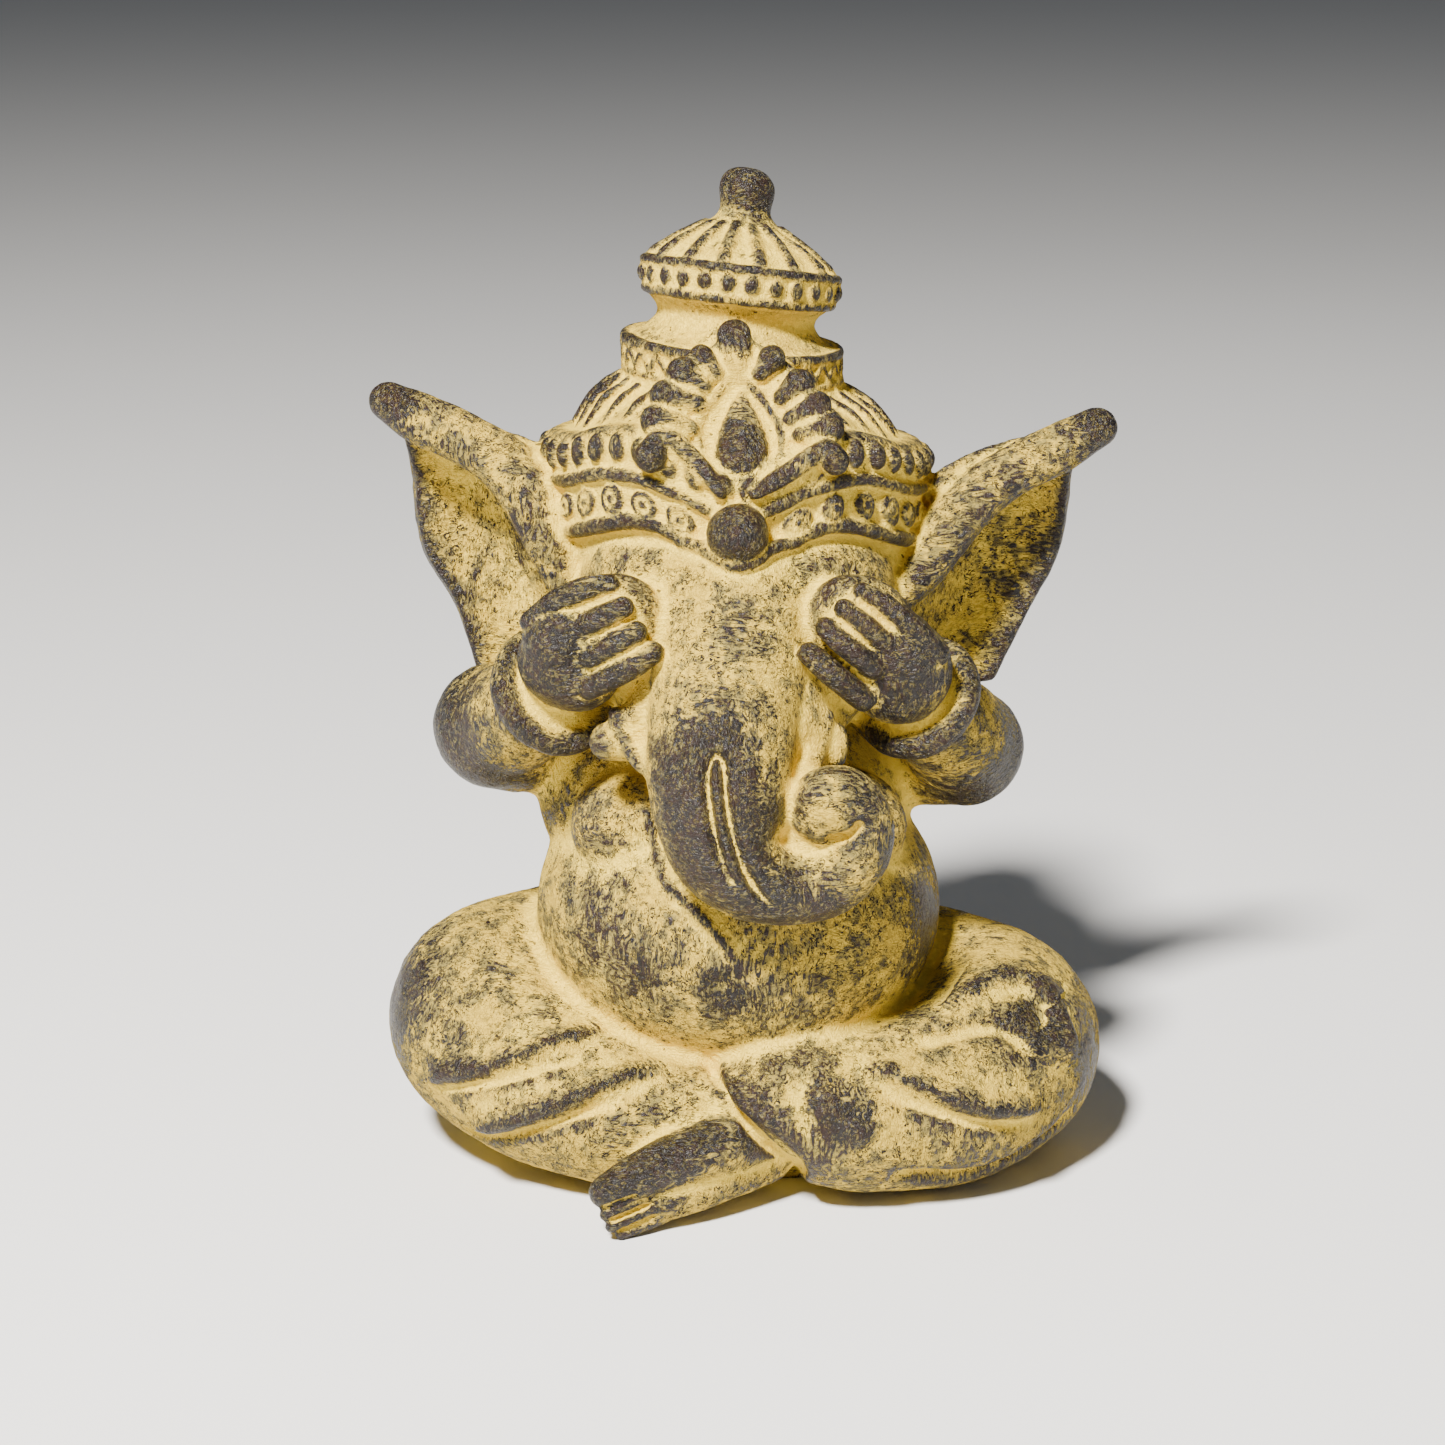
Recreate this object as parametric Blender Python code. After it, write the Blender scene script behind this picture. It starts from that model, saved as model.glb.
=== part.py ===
"""A baby Ganesha sitting cross-legged and hiding his eyes: one solid casting, flat underneath.

Run with: blender --background --python part.py

The figure is built up like clay. Plain forms (lumps, tapering limbs, turned rings, leaves) are laid
over each other, fused into one skin and softened, and the next, finer layer is laid on top. Folds and
creases are then pressed into the skin. Last, it is reduced to a modest number of faces and cut off
flat at the ground.

Every place and size is counted in units of a 250th of the statue's height, as (across, back, up):
x runs to the statue's left, y to its back, and z up from the ground under the crown's axis.
"""

import math

import bmesh
import bpy
import numpy as np
from mathutils import Euler, Matrix, Vector
from mathutils.bvhtree import BVHTree

# Driving dimension, in metres
HEIGHT = 0.250
UNIT = HEIGHT / 250

# How finely each layer is fused and how far its creases are rounded, in units
MASS_GRAIN, MASS_ROUNDING = 1.4, 2.2
FORM_GRAIN, FORM_ROUNDING = 1.1, 1.0
RELIEF_GRAIN, RELIEF_ROUNDING = 0.85, 0.35
MOST_FACES = 9200

STONE = (0.50, 0.38, 0.18, 1.0)
STONE_ROUGHNESS = 0.8

# The crown: turned outline as (radius, height), from inside the skull to the top of the knob
CROWN_OUTLINE = (
    (0.0, 150.0), (40.0, 152.0), (43.5, 157.5), (45.3, 160.5), (45.6, 166.0), (46.2, 172.0),
    (46.8, 178.0), (46.9, 182.0), (45.2, 184.2), (40.4, 184.8), (38.8, 186.4), (36.2, 189.4),
    (32.4, 193.0), (29.0, 196.0), (27.2, 198.4), (26.6, 200.0), (26.4, 205.5), (25.2, 208.0),
    (21.8, 209.6), (19.4, 212.4), (19.8, 215.0), (22.0, 216.8), (23.6, 219.5), (23.8, 223.0),
    (22.8, 225.6), (20.2, 228.4), (16.4, 231.2), (12.2, 233.8), (8.6, 236.2), (6.6, 238.2),
    (6.3, 240.0), (6.8, 243.0), (6.5, 246.2), (4.6, 248.9), (0.0, 250.0),
)
# The tiers lean: at each height, the slope down to the statue's left, the slope up to the front
# and the shift of the axis
LEAN_HEIGHTS = (150, 185, 206, 222, 250)
LEAN_ASIDE = (0.02, 0.03, 0.08, 0.12, 0.11)
LEAN_BACK = (0.07, 0.07, 0.0, 0.14, 0.14)
LEAN_SHIFT = (-0.3, -0.8, -1.6, 0.3, 2.2)
# The head band rises in a soft arch at each side of the brow and dips between them
BROW_ARCH_RISE, BROW_ARCH_ANGLE, BROW_ARCH_WIDTH = 5.5, 36.0, 22.0
BROW_DIP, BROW_DIP_WIDTH = 3.5, 14.0
BAND_FADE_FROM, BAND_FADE_TO = 186.0, 197.0

# The plaque on the crown's front: its foot, and the slope it leans back with
PLAQUE_FOOT = Vector((0.0, -49.0, 170.4))
PLAQUE_UP = Vector((0.0, 22.0, 46.0)).normalized()
PLAQUE_OUT = Vector((0.0, -46.0, 22.0)).normalized()


def smooth_line(points, closed=False, steps=6):
    """Points along a smooth curve (Catmull-Rom) through the given ones; any further numbers follow."""
    given = np.array(points, float)
    if closed:
        padded = np.vstack([given[-1:], given, given[:2]])
    else:
        padded = np.vstack([2 * given[0] - given[1], given, 2 * given[-1] - given[-2]])
    line = []
    for a, b, c, d in zip(padded, padded[1:], padded[2:], padded[3:]):
        for t in np.arange(steps) / steps:
            line.append(0.5 * (2 * b + (c - a) * t + (2 * a - 5 * b + 4 * c - d) * t**2
                               + (3 * b - a - 3 * c + d) * t**3))
    if not closed:
        line.append(given[-1])
    return np.array(line)


def skin_rings(clay, rings, closed=False):
    """Skins a row of rings of points; an open row is capped at both ends."""
    loops = [[clay.verts.new(p) for p in ring] for ring in rings]
    pairs = list(zip(loops, loops[1:]))
    if closed:
        pairs.append((loops[-1], loops[0]))
    made = []
    for lower, upper in pairs:
        for k in range(len(lower)):
            made.append(clay.faces.new((lower[k - 1], lower[k], upper[k], upper[k - 1])))
    if not closed:
        made.append(clay.faces.new(reversed(loops[0])))
        made.append(clay.faces.new(loops[-1]))
    bmesh.ops.recalc_face_normals(clay, faces=made)


def lump(clay, place, radii, turn=(0, 0, 0)):
    """An egg-shaped lump; turn is in degrees about x, y and z."""
    if isinstance(radii, (int, float)):
        radii = (radii,) * 3
    turned = Euler([math.radians(a) for a in turn]).to_matrix().to_4x4()
    matrix = Matrix.Translation(Vector(place)) @ turned @ Matrix.Diagonal((*radii, 1))
    bmesh.ops.create_icosphere(clay, subdivisions=3, radius=1, matrix=matrix)


def limb(clay, line, flat=1.0, facing=(0, -1, 0), closed=False, sides=16, round_ends=(True, True)):
    """A round limb along a curve of (x, y, z, radius). flat thins it in the direction it faces."""
    path = smooth_line(line, closed)
    centres, radii = path[:, :3], path[:, 3]
    if closed:
        ahead = np.roll(centres, -1, axis=0) - np.roll(centres, 1, axis=0)
    else:
        ahead = np.gradient(centres, axis=0)
    ahead /= np.linalg.norm(ahead, axis=1)[:, None]
    front = np.array(facing, float)
    angles = np.arange(sides) * 2 * math.pi / sides

    def ring(centre, way, radius):
        side = np.cross(way, front)
        side /= np.linalg.norm(side)
        up = np.cross(side, way) * flat
        return [centre + radius * (math.cos(a) * side + math.sin(a) * up) for a in angles]

    rings = [ring(c, w, r) for c, w, r in zip(centres, ahead, radii)]
    bends = [math.radians(a) for a in (25, 50, 72)]
    if not closed and round_ends[0]:
        first = [ring(centres[0] - ahead[0] * radii[0] * math.sin(a), ahead[0],
                      radii[0] * math.cos(a)) for a in reversed(bends)]
        rings = first + rings
    if not closed and round_ends[1]:
        rings += [ring(centres[-1] + ahead[-1] * radii[-1] * math.sin(a), ahead[-1],
                       radii[-1] * math.cos(a)) for a in bends]
    skin_rings(clay, rings, closed)


def sheet(clay, rows, thickness):
    """A bent plate through rows of points, each row and each column a smooth curve."""
    across = [smooth_line(row, steps=5) for row in rows]
    grid = np.array([smooth_line(column, steps=5) for column in zip(*across)]).transpose(1, 0, 2)
    normals = np.cross(np.gradient(grid, axis=0), np.gradient(grid, axis=1))
    normals /= np.linalg.norm(normals, axis=2)[:, :, None]
    faces_of = []
    for side in (-0.5, 0.5):
        points = grid + normals * thickness * side
        faces_of.append([[clay.verts.new(p) for p in row] for row in points])
    made = []
    for layer in faces_of:
        for r in range(len(layer) - 1):
            for c in range(len(layer[0]) - 1):
                corners = (layer[r][c], layer[r][c + 1], layer[r + 1][c + 1], layer[r + 1][c])
                made.append(clay.faces.new(corners))
    edges = []
    for layer in faces_of:
        bottom, top = layer[-1], layer[0]
        right, left = [row[-1] for row in layer], [row[0] for row in layer]
        edges.append(top + right[1:] + bottom[::-1][1:] + left[::-1][1:-1])
    front, back = edges
    for k in range(len(front)):
        made.append(clay.faces.new((front[k - 1], front[k], back[k], back[k - 1])))
    bmesh.ops.recalc_face_normals(clay, faces=made)


def fuse(clay, grain, rounding):
    """Fuses overlapping forms into one skin and rounds its creases; returns it as new clay."""
    mesh = bpy.data.meshes.new("Fused")
    clay.to_mesh(mesh)
    clay.free()
    lump_of_clay = bpy.data.objects.new("Fused", mesh)
    bpy.context.scene.collection.objects.link(lump_of_clay)
    remesh = lump_of_clay.modifiers.new("Fuse", "REMESH")
    remesh.mode = "VOXEL"
    remesh.voxel_size = grain
    soften = lump_of_clay.modifiers.new("Soften", "SMOOTH")
    soften.factor = 0.5
    soften.iterations = max(1, round(2 * (rounding / grain) ** 2))
    graph = bpy.context.evaluated_depsgraph_get()
    skin = bpy.data.meshes.new_from_object(lump_of_clay.evaluated_get(graph))
    bpy.data.objects.remove(lump_of_clay)
    fused = bmesh.new()
    fused.from_mesh(skin)
    bpy.data.meshes.remove(skin)
    return fused


class Skin:
    """The fused skin's points, which strokes press in or raise."""

    def __init__(self, clay):
        self.clay = clay
        clay.normal_update()
        self.tree = BVHTree.FromBMesh(clay)
        self.points = np.array([v.co for v in clay.verts])
        self.normals = np.array([v.normal for v in clay.verts])

    def from_front(self, line):
        """Where a line of (across, up), looked at from the front, meets the skin."""
        met = []
        for across, up in line:
            place = self.tree.ray_cast(Vector((across, -200, up)), Vector((0, 1, 0)))[0]
            if place is not None:
                met.append(place)
        return np.array(met)

    def stroke(self, line, width, height, under=None):
        """A soft ridge along a line, or a crease where height is negative. Its ends run out.

        under is the width on the lower side of the line, where a fold breaks off more sharply.
        """
        path = self.from_front(smooth_line(line, steps=10))
        reach = 2.2 * width
        inside = (self.points > path.min(0) - reach) & (self.points < path.max(0) + reach)
        near = np.flatnonzero(inside.all(1))
        gaps = np.linalg.norm(self.points[near, None] - path[None], axis=2)
        gap, nearest = gaps.min(1), gaps.argmin(1)
        if under:
            ahead = np.gradient(path, axis=0)
            over = np.cross(self.normals[near], ahead[nearest])
            over *= np.sign(over[:, 2:])
            above = np.einsum("ij,ij->i", self.points[near] - path[nearest], over) > 0
            width = np.where(above, width, under)
        share = np.exp(-((gap / width) ** 2) * 1.6) * (gap < reach)
        share *= np.clip(np.sin(np.pi * nearest / (len(path) - 1)) * 2.2, 0, 1)
        self.points[near] += self.normals[near] * (share * height)[:, None]

    def swell(self, across, up, width, height):
        """A round swelling, or a dent where height is negative."""
        centre = self.from_front([(across, up)])[0]
        gap = np.linalg.norm(self.points - centre, axis=1)
        self.points += self.normals * (height * np.exp(-((gap / width) ** 2) * 1.6))[:, None]

    def done(self):
        for vert, point in zip(self.clay.verts, self.points):
            vert.co = point
        return self.clay


def on_crown(angle, radius, height):
    """A place on the leaning crown; the angle is in degrees from the front to the statue's left."""
    turn = math.radians(angle)
    x, y = radius * math.sin(turn), -radius * math.cos(turn)
    aside = np.interp(height, LEAN_HEIGHTS, LEAN_ASIDE)
    back = np.interp(height, LEAN_HEIGHTS, LEAN_BACK)
    shift = np.interp(height, LEAN_HEIGHTS, LEAN_SHIFT)
    off_front = abs((angle + 180) % 360 - 180)
    off_arch = (off_front - BROW_ARCH_ANGLE) / BROW_ARCH_WIDTH
    rise = BROW_ARCH_RISE * math.exp(-(off_arch**2))
    rise -= BROW_DIP * math.exp(-((off_front / BROW_DIP_WIDTH) ** 2))
    rise *= np.interp(height, (BAND_FADE_FROM, BAND_FADE_TO), (1, 0))
    return Vector((x + shift, y, height - x * aside - y * back + rise))


def on_plaque(across, up, out=0.0):
    """A place on the plaque: across to the statue's left, up it from its foot, and out of it."""
    return PLAQUE_FOOT + Vector((across, 0, 0)) + PLAQUE_UP * up + PLAQUE_OUT * out


def torso(clay):
    lump(clay, (0, -10, 64.5), (51.5, 50, 42))
    lump(clay, (-3.4, -4, 91), (47.6, 37, 32))
    lump(clay, (0, 14, 72), (42, 28, 44))
    lump(clay, (0, 16, 26), (60, 36, 30))
    lump(clay, (0, 0, 10), (70, 42, 24))
    lump(clay, (0, 4, 120), (34, 31, 24))
    for side in (-1, 1):
        lump(clay, (side * 25, -30, 91.5), (17, 14, 14.5))
        lump(clay, (side * 35, 6, 122), (14, 14, 18))


def legs(clay):
    """The right leg lies under, the left one over it."""
    limb(clay, ((-28, 18, 32, 30), (-56, 2, 33.5, 28), (-63.2, -14, 33, 26.5), (-48, -34, 26, 22.5),
                (-24, -45, 20, 18.5), (0, -46, 18, 16)), facing=(0, 0, 1))
    limb(clay, ((28, 18, 28, 30), (57, 3, 27.5, 28), (66.3, -15, 27.5, 27), (53, -37, 24, 24),
                (30, -47, 22.5, 20.5), (14, -48, 24.5, 18.5), (7, -50.5, 22, 18),
                (4.5, -52, 19.5, 17.5)),
         facing=(0, 0, 1), round_ends=(True, False))


def arms(clay):
    """Upper arms held out, forearms folded back up to the eyes."""
    limb(clay, ((-32, 4, 108, 17), (-50, -4, 109, 16.4), (-60.8, -12, 112, 16.2)))
    limb(clay, ((-60.8, -12, 112, 15), (-54, -25, 119, 13.5), (-47, -35, 126, 11.5)))
    limb(clay, ((32, 4, 104, 17), (50, -4, 105, 16), (57, -12, 106.5, 15.2)))
    limb(clay, ((57, -12, 106.5, 15), (52, -25, 115, 13.5), (44, -35, 123, 11.5)))


def head(clay):
    """The skull, the broad brow that runs into the trunk, and the cheeks."""
    lump(clay, (0, 0, 150), (42.5, 42, 36))
    lump(clay, (-0.5, -22, 150), (39, 29, 26))
    limb(clay, ((-1, -22, 163, 23), (-1.2, -34, 150, 22), (-2.6, -47, 134, 20),
                (-4.2, -57, 119, 18), (-3.6, -62, 106, 16)))
    for side in (-1, 1):
        lump(clay, (side * 17, -37, 133), (14.5, 14, 18))


TRUNK_LINE = (
    (-1.5, -34, 152, 19), (-2.6, -47, 136, 18.5), (-4.0, -57, 122, 18.2), (-4.6, -63, 110, 17.2),
    (-2.6, -66.5, 98, 14.4), (4, -67.5, 90.6, 11.2), (13.5, -67, 88, 9.2), (21.5, -66.5, 89.8, 8.8),
    (27.6, -66, 96, 8.4), (28.0, -66, 103.5, 8.4), (24.6, -66.4, 108.6, 8.6), (20.8, -67.2, 109, 8.6),
)
FLAP_RIGHT = ((-14, -46, 131, 11), (-22, -50, 126, 7), (-28.2, -52, 124.5, 3.2))
FLAP_RIGHT_EDGE = ((-29.6, -51.5, 126.2, 2.0), (-27.0, -54.5, 120.8, 2.3), (-23.6, -57.5, 116.4, 2.5),
                   (-20.4, -59.5, 114.4, 2.4))
FLAP_LEFT = ((10, -46, 128, 12), (14, -51, 121, 9), (16.5, -53, 117, 5.5))
FLAP_LEFT_EDGE = ((20.8, -52, 125.6, 2.2), (18.8, -55.5, 119.4, 2.5), (16.8, -58.5, 115.2, 2.7),
                  (13.2, -60.5, 113.6, 2.6))
TUSK_RIGHT = ((-20, -45, 119.5, 5.6), (-27, -49, 119.2, 5.4), (-31.2, -50.5, 118.9, 4.8))
TUSK_LEFT = ((24.4, -50.5, 124.5, 2.4), (24.2, -53, 119.5, 2.8), (23.8, -54, 115.2, 2.7))


def trunk_and_mouth(clay):
    """The trunk, curled up at its end, the two lips beside it and the short tusks below them."""
    limb(clay, TRUNK_LINE)
    lump(clay, (20, -66, 106), (8.6, 8.4, 7.6))
    lump(clay, (18, -61, 99), (9, 8.4, 9))
    lump(clay, (20, -58, 99), (12, 9, 11))
    lump(clay, (8, -58, 97), (12, 8, 10))
    limb(clay, ((-2, -42, 120, 14), (-1, -47, 107, 13.5), (3, -51, 97, 11)))
    for line in (FLAP_RIGHT, FLAP_RIGHT_EDGE, FLAP_LEFT, FLAP_LEFT_EDGE, TUSK_RIGHT, TUSK_LEFT):
        limb(clay, line)


EAR_SHEET_RIGHT = (
    ((-46, -6, 181), (-62, -3, 185), (-75, -1, 189), (-85, 0, 191)),
    ((-43, -6, 168), (-58, 5, 172), (-71, 9, 175), (-82.6, 6, 176)),
    ((-40, -10, 154), (-54, 7, 155), (-67, 11, 155), (-80.2, 8, 154)),
    ((-38, -12, 140), (-49, 6, 139), (-61, 10, 138), (-71.8, 8, 138)),
    ((-38, -8, 127), (-47, 3, 124), (-56, 7, 121), (-66.5, 7, 120)),
)
EAR_SHEET_LEFT = (
    ((48, -6, 174), (62, -3, 179), (75, -1, 182), (86, 0, 183)),
    ((45, -6, 163), (58, 5, 169), (70, 9, 172), (83.6, 6, 173)),
    ((42, -10, 151), (55, 7, 154), (67, 11, 154), (81.6, 8, 153)),
    ((39, -12, 139), (50, 6, 138), (61, 10, 137), (73.8, 8, 136)),
    ((38, -8, 125), (47, 3, 121), (56, 7, 118), (65.4, 7, 119)),
)
EAR_RIM_RIGHT = (
    (-86.6, -3, 192.6, 5.2), (-79, -5, 188.8, 6.8), (-68, -7, 184.3, 7.0), (-58, -9, 178.5, 7.4),
    (-50, -12, 169.5, 8.2), (-45, -15, 158.5, 7.2), (-42, -17, 149, 5.2),
)
EAR_RIM_LEFT = (
    (88.6, -3, 186.2, 5.4), (79, -5, 181.2, 6.6), (68, -7, 176.0, 6.6), (59, -9, 170, 6.8),
    (51, -12, 162, 7.2), (45, -15, 153.5, 6.5), (40, -17, 147, 5.0),
)
EAR_THICKNESS = 6.0


def ears(clay):
    """Cupped ears held out wide, each with its upper edge rolled forward into a thick rim."""
    for rows, rim in ((EAR_SHEET_RIGHT, EAR_RIM_RIGHT), (EAR_SHEET_LEFT, EAR_RIM_LEFT)):
        sheet(clay, rows, EAR_THICKNESS)
        limb(clay, rim, flat=0.85, facing=(0, -0.6, 0.8))


CUFF_RADIUS, CUFF_THICKNESS = 13.2, 3.4


def cuff(clay, centre, axis):
    """A thick bangle round the wrist."""
    centre, axis = Vector(centre), Vector(axis).normalized()
    side = axis.cross(Vector((0, 0, 1))).normalized()
    up = side.cross(axis)
    ring = []
    for k in range(12):
        turn = k * math.tau / 12
        place = centre + CUFF_RADIUS * (math.cos(turn) * side + math.sin(turn) * up)
        ring.append((*place, CUFF_THICKNESS))
    limb(clay, ring, facing=axis, closed=True, sides=10)
    lift = axis.to_track_quat("Z", "Y").to_euler()
    turn = [math.degrees(a) for a in lift]
    lump(clay, centre + axis * 0.2, (CUFF_RADIUS, CUFF_RADIUS, 3.0), turn)


def hands(clay):
    """The backs of the hands, turned to the front, and the bangles behind them."""
    lump(clay, (-40, -46.5, 138), (13.2, 9.5, 12.5), (0, 20, 0))
    lump(clay, (-32, -48.5, 146.5), (15, 8.8, 12.5), (0, -35, 0))
    lump(clay, (-42.5, -49, 145), (9, 8.6, 10.5), (0, 25, 0))
    cuff(clay, (-45.0, -37, 128), (22, -35, 26))
    lump(clay, (38, -46.5, 135.5), (13.2, 9.5, 13.2), (0, -25, 0))
    lump(clay, (29.5, -48.5, 146), (15, 8.8, 12.5), (0, 40, 0))
    lump(clay, (38.5, -49, 141.5), (9, 8.6, 11), (0, -30, 0))
    cuff(clay, (43, -37, 126.5), (-19.5, -35, 30))


FINGERS = (
    ((-49.5, -50, 148.6, 2.8), (-43.4, -53, 154.2, 2.9), (-36.6, -54, 157.4, 2.8), (-30.8, -53.5, 158.6, 2.4)),
    ((-38.4, -54.4, 147.6, 2.7), (-32.4, -57, 151.4, 2.9), (-27.4, -56.6, 153.7, 2.5)),
    ((-35.2, -55.4, 141.4, 2.8), (-29.2, -58, 145.4, 3.1), (-24.2, -57.8, 147.9, 2.7)),
    ((-35.6, -54.6, 133.4, 3.0), (-27, -58.2, 139.0, 3.3), (-20.8, -57.8, 142.8, 2.9)),
    ((47.4, -51, 141.0, 2.9), (39.6, -55, 149.4, 3.0), (33.8, -55.6, 154.4, 2.8), (28.8, -54.5, 157.0, 2.4)),
    ((35.4, -55, 144.4, 2.7), (29.4, -57.6, 149.8, 2.9), (24.6, -56.8, 153.4, 2.5)),
    ((31.6, -55.4, 138.8, 2.8), (25.2, -58.6, 145.0, 3.0), (20.4, -57.8, 149.0, 2.6)),
    ((29.4, -54.4, 130.6, 3.0), (22, -58.4, 137.8, 3.1), (16.6, -57.4, 142.6, 2.7)),
)


def fingers(clay):
    for line in FINGERS:
        limb(clay, line, sides=12)


def foot(clay):
    """The left foot, which comes out from under the hem and lies on its edge."""
    limb(clay, ((8, -48, 19, 10), (0, -57, 19.5, 8.6), (-11, -63.5, 17.5, 8), (-22, -68.4, 15, 7),
                (-31.4, -73, 12.6, 5.4)), facing=(0, 0, 1))
    limb(clay, ((6, -50, 12, 8), (-4, -57, 11, 8), (-14, -63, 9, 7.4), (-22, -67, 7.4, 6.4)),
         facing=(0, 0, 1))


TOES = (
    ((-21, -70, 10.4, 2.7), (-26.5, -73, 9.0, 2.8), (-31.4, -75.4, 7.2, 2.5)),
    ((-19.5, -69, 7.4, 2.7), (-25, -73, 5.8, 2.8), (-29.8, -75.4, 4.2, 2.5)),
    ((-19, -67, 4.4, 2.8), (-23.5, -71, 3.0, 2.8), (-27.4, -73.6, 1.6, 2.5)),
)


def toes(clay):
    for line in TOES:
        limb(clay, line, sides=12)


def crown_core(clay):
    sides = 48
    rings = []
    for radius, height in CROWN_OUTLINE[1:-1]:
        rings.append([on_crown(k * 360 / sides, radius, height) for k in range(sides)])
    skin_rings(clay, rings)
    tip_radius, tip_height = CROWN_OUTLINE[-2]
    lump(clay, on_crown(0, 0, tip_height - tip_radius), tip_radius + 0.8)


def hoop(clay, radius, height, thickness):
    """A raised line round the crown."""
    line = [(*on_crown(k * 15, radius, height), thickness) for k in range(24)]
    limb(clay, line, facing=(0, 0, 1), closed=True, sides=8)


def ribs(clay, count, line):
    """Ribs fanned round the crown, each along (radius, height, thickness)."""
    for k in range(count):
        turn = (k + 0.5) * 360 / count
        limb(clay, [(*on_crown(turn, r, h), t) for r, h, t in line], sides=8)


BAND_LOWER_BEADS, BAND_UPPER_BEADS, TIER_BEADS, LID_BEADS = 31, 44, 30, 26
DOME_RIBS, LID_RIBS = 30, 16


def crown_relief(clay):
    """The raised lines, beads and ribs of the crown's tiers."""
    for radius, height, thickness in ((45.2, 160.4, 2.3), (46.6, 172.8, 1.9), (26.6, 199.6, 1.1),
                                      (26.4, 206.8, 1.4), (23.6, 225.0, 1.3), (23.0, 218.4, 1.2)):
        hoop(clay, radius, height, thickness)
    for count, radius, height, size in (
        (BAND_LOWER_BEADS, 45.6, 166.5, (3.2, 3.1, 3.4)),
        (BAND_UPPER_BEADS, 46.8, 179.2, (2.7, 2.4, 3.6)),
        (TIER_BEADS, 26.6, 203.3, (1.5, 1.5, 2.0)),
        (LID_BEADS, 24.0, 221.7, (1.7, 1.7, 2.1)),
    ):
        for k in range(count):
            lump(clay, on_crown((k + 0.5) * 360 / count, radius, height), size)
    ribs(clay, DOME_RIBS, ((39.2, 186.4, 1.4), (34.5, 193.4, 1.3), (28.5, 197.5, 1.0)))
    ribs(clay, LID_RIBS, ((21.2, 226.6, 2.2), (15.8, 230.5, 2.1), (9.2, 235.1, 1.3)))


PLAQUE_OUTLINE = (
    (0, 47), (-9, 42), (-16, 36), (-20, 28), (-21, 20), (-17, 12), (-6, 4),
    (6, 4), (17, 11), (21, 18), (20, 26), (16, 34), (9, 41),
)
PLAQUE_LOBES = (
    ((-6.0, 37.5, 2.2), (-9.1, 41.8, 3.0)), ((-9.0, 34.6, 2.6), (-13.2, 37.6, 4.2)),
    ((-10.2, 30.0, 2.6), (-14.0, 31.2, 3.3), (-17.6, 32.2, 3.7)),
    ((-12.0, 24.0, 2.6), (-15.6, 25.2, 3.4), (-19.8, 26.0, 3.9)),
    ((4.8, 37.6, 2.0), (7.6, 41.4, 3.2)), ((10.2, 31.6, 2.4), (14.4, 35.0, 3.7)),
    ((12.4, 26.8, 2.4), (18.2, 29.6, 3.7)), ((14.6, 22.4, 2.4), (21.2, 24.2, 3.8)),
)
PLAQUE_SCROLLS = (
    ((-20.8, 17.0, 3.9), (-18.6, 20.6, 2.6), (-15.6, 20.4, 2.3), (-11.5, 17.0, 2.0),
     (-7.6, 12.6, 1.8), (-4.6, 8.2, 1.3)),
    ((22.6, 15.8, 3.2), (20.6, 18.2, 2.5), (16.8, 16.8, 2.2), (12.0, 13.4, 2.0),
     (7.6, 10.6, 1.8), (3.9, 8.0, 1.3)),
)
JEWEL_FRAME = (
    (-0.3, 39.0), (-3.4, 34.8), (-6.6, 31.0), (-9.2, 26.0), (-9.6, 20.8), (-8.0, 15.2),
    (-4.6, 11.2), (-0.2, 9.6), (4.4, 11.0), (8.6, 15.2), (10.2, 21.0), (9.0, 26.2), (5.8, 30.8),
    (2.6, 34.8),
)
JEWEL_LINE = ((0.6, 18.4, 6.8), (0.5, 24.0, 5.6), (0.5, 28.6, 3.4), (0.6, 32.6, 1.2))
PLAQUE_TIP = ((-1.4, 47.4, 4.3), (-1.0, 43.6, 3.6), (-0.4, 40.4, 2.4))
BOSS_RADIUS = 7.3
BROW_POINT = (
    (-12, -46.5, 167.4, 1.6), (-7.4, -49.5, 165.4, 1.9), (-3.6, -51.5, 163.8, 2.1),
    (-0.2, -52.4, 163.0, 2.2), (3.4, -51.5, 164.0, 2.1), (7.0, -49.5, 166.0, 1.9),
    (11.5, -46.5, 168.4, 1.6),
)


def plaque_core(clay):
    """The plaque's plate, which backs on to the crown."""
    outline = smooth_line(PLAQUE_OUTLINE, closed=True, steps=4)
    skin_rings(clay, [[on_plaque(x, s, out) for x, s in outline] for out in (-15, 0.5)])


def plaque_relief(clay):
    """The lobed border, the scrolls, the jewel in its frame, the tip and the boss over the brow."""
    for lobe in PLAQUE_LOBES:
        limb(clay, [(*on_plaque(x, s, 2.4), r) for x, s, r in lobe], facing=PLAQUE_OUT, sides=12)
    for scroll in PLAQUE_SCROLLS:
        limb(clay, [(*on_plaque(x, s, 3.4), r) for x, s, r in scroll], facing=PLAQUE_OUT, sides=12)
    limb(clay, [(*on_plaque(x, s, 1.6), 1.3) for x, s in JEWEL_FRAME], facing=PLAQUE_OUT,
         closed=True, sides=8)
    limb(clay, [(*on_plaque(x, s, 1.4), r) for x, s, r in JEWEL_LINE], flat=0.62,
         facing=PLAQUE_OUT)
    limb(clay, [(*on_plaque(x, s, 0.8), r) for x, s, r in PLAQUE_TIP], facing=PLAQUE_OUT)
    limb(clay, BROW_POINT)
    lump(clay, on_plaque(-0.5, -1.0, 0.5), BOSS_RADIUS)


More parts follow.
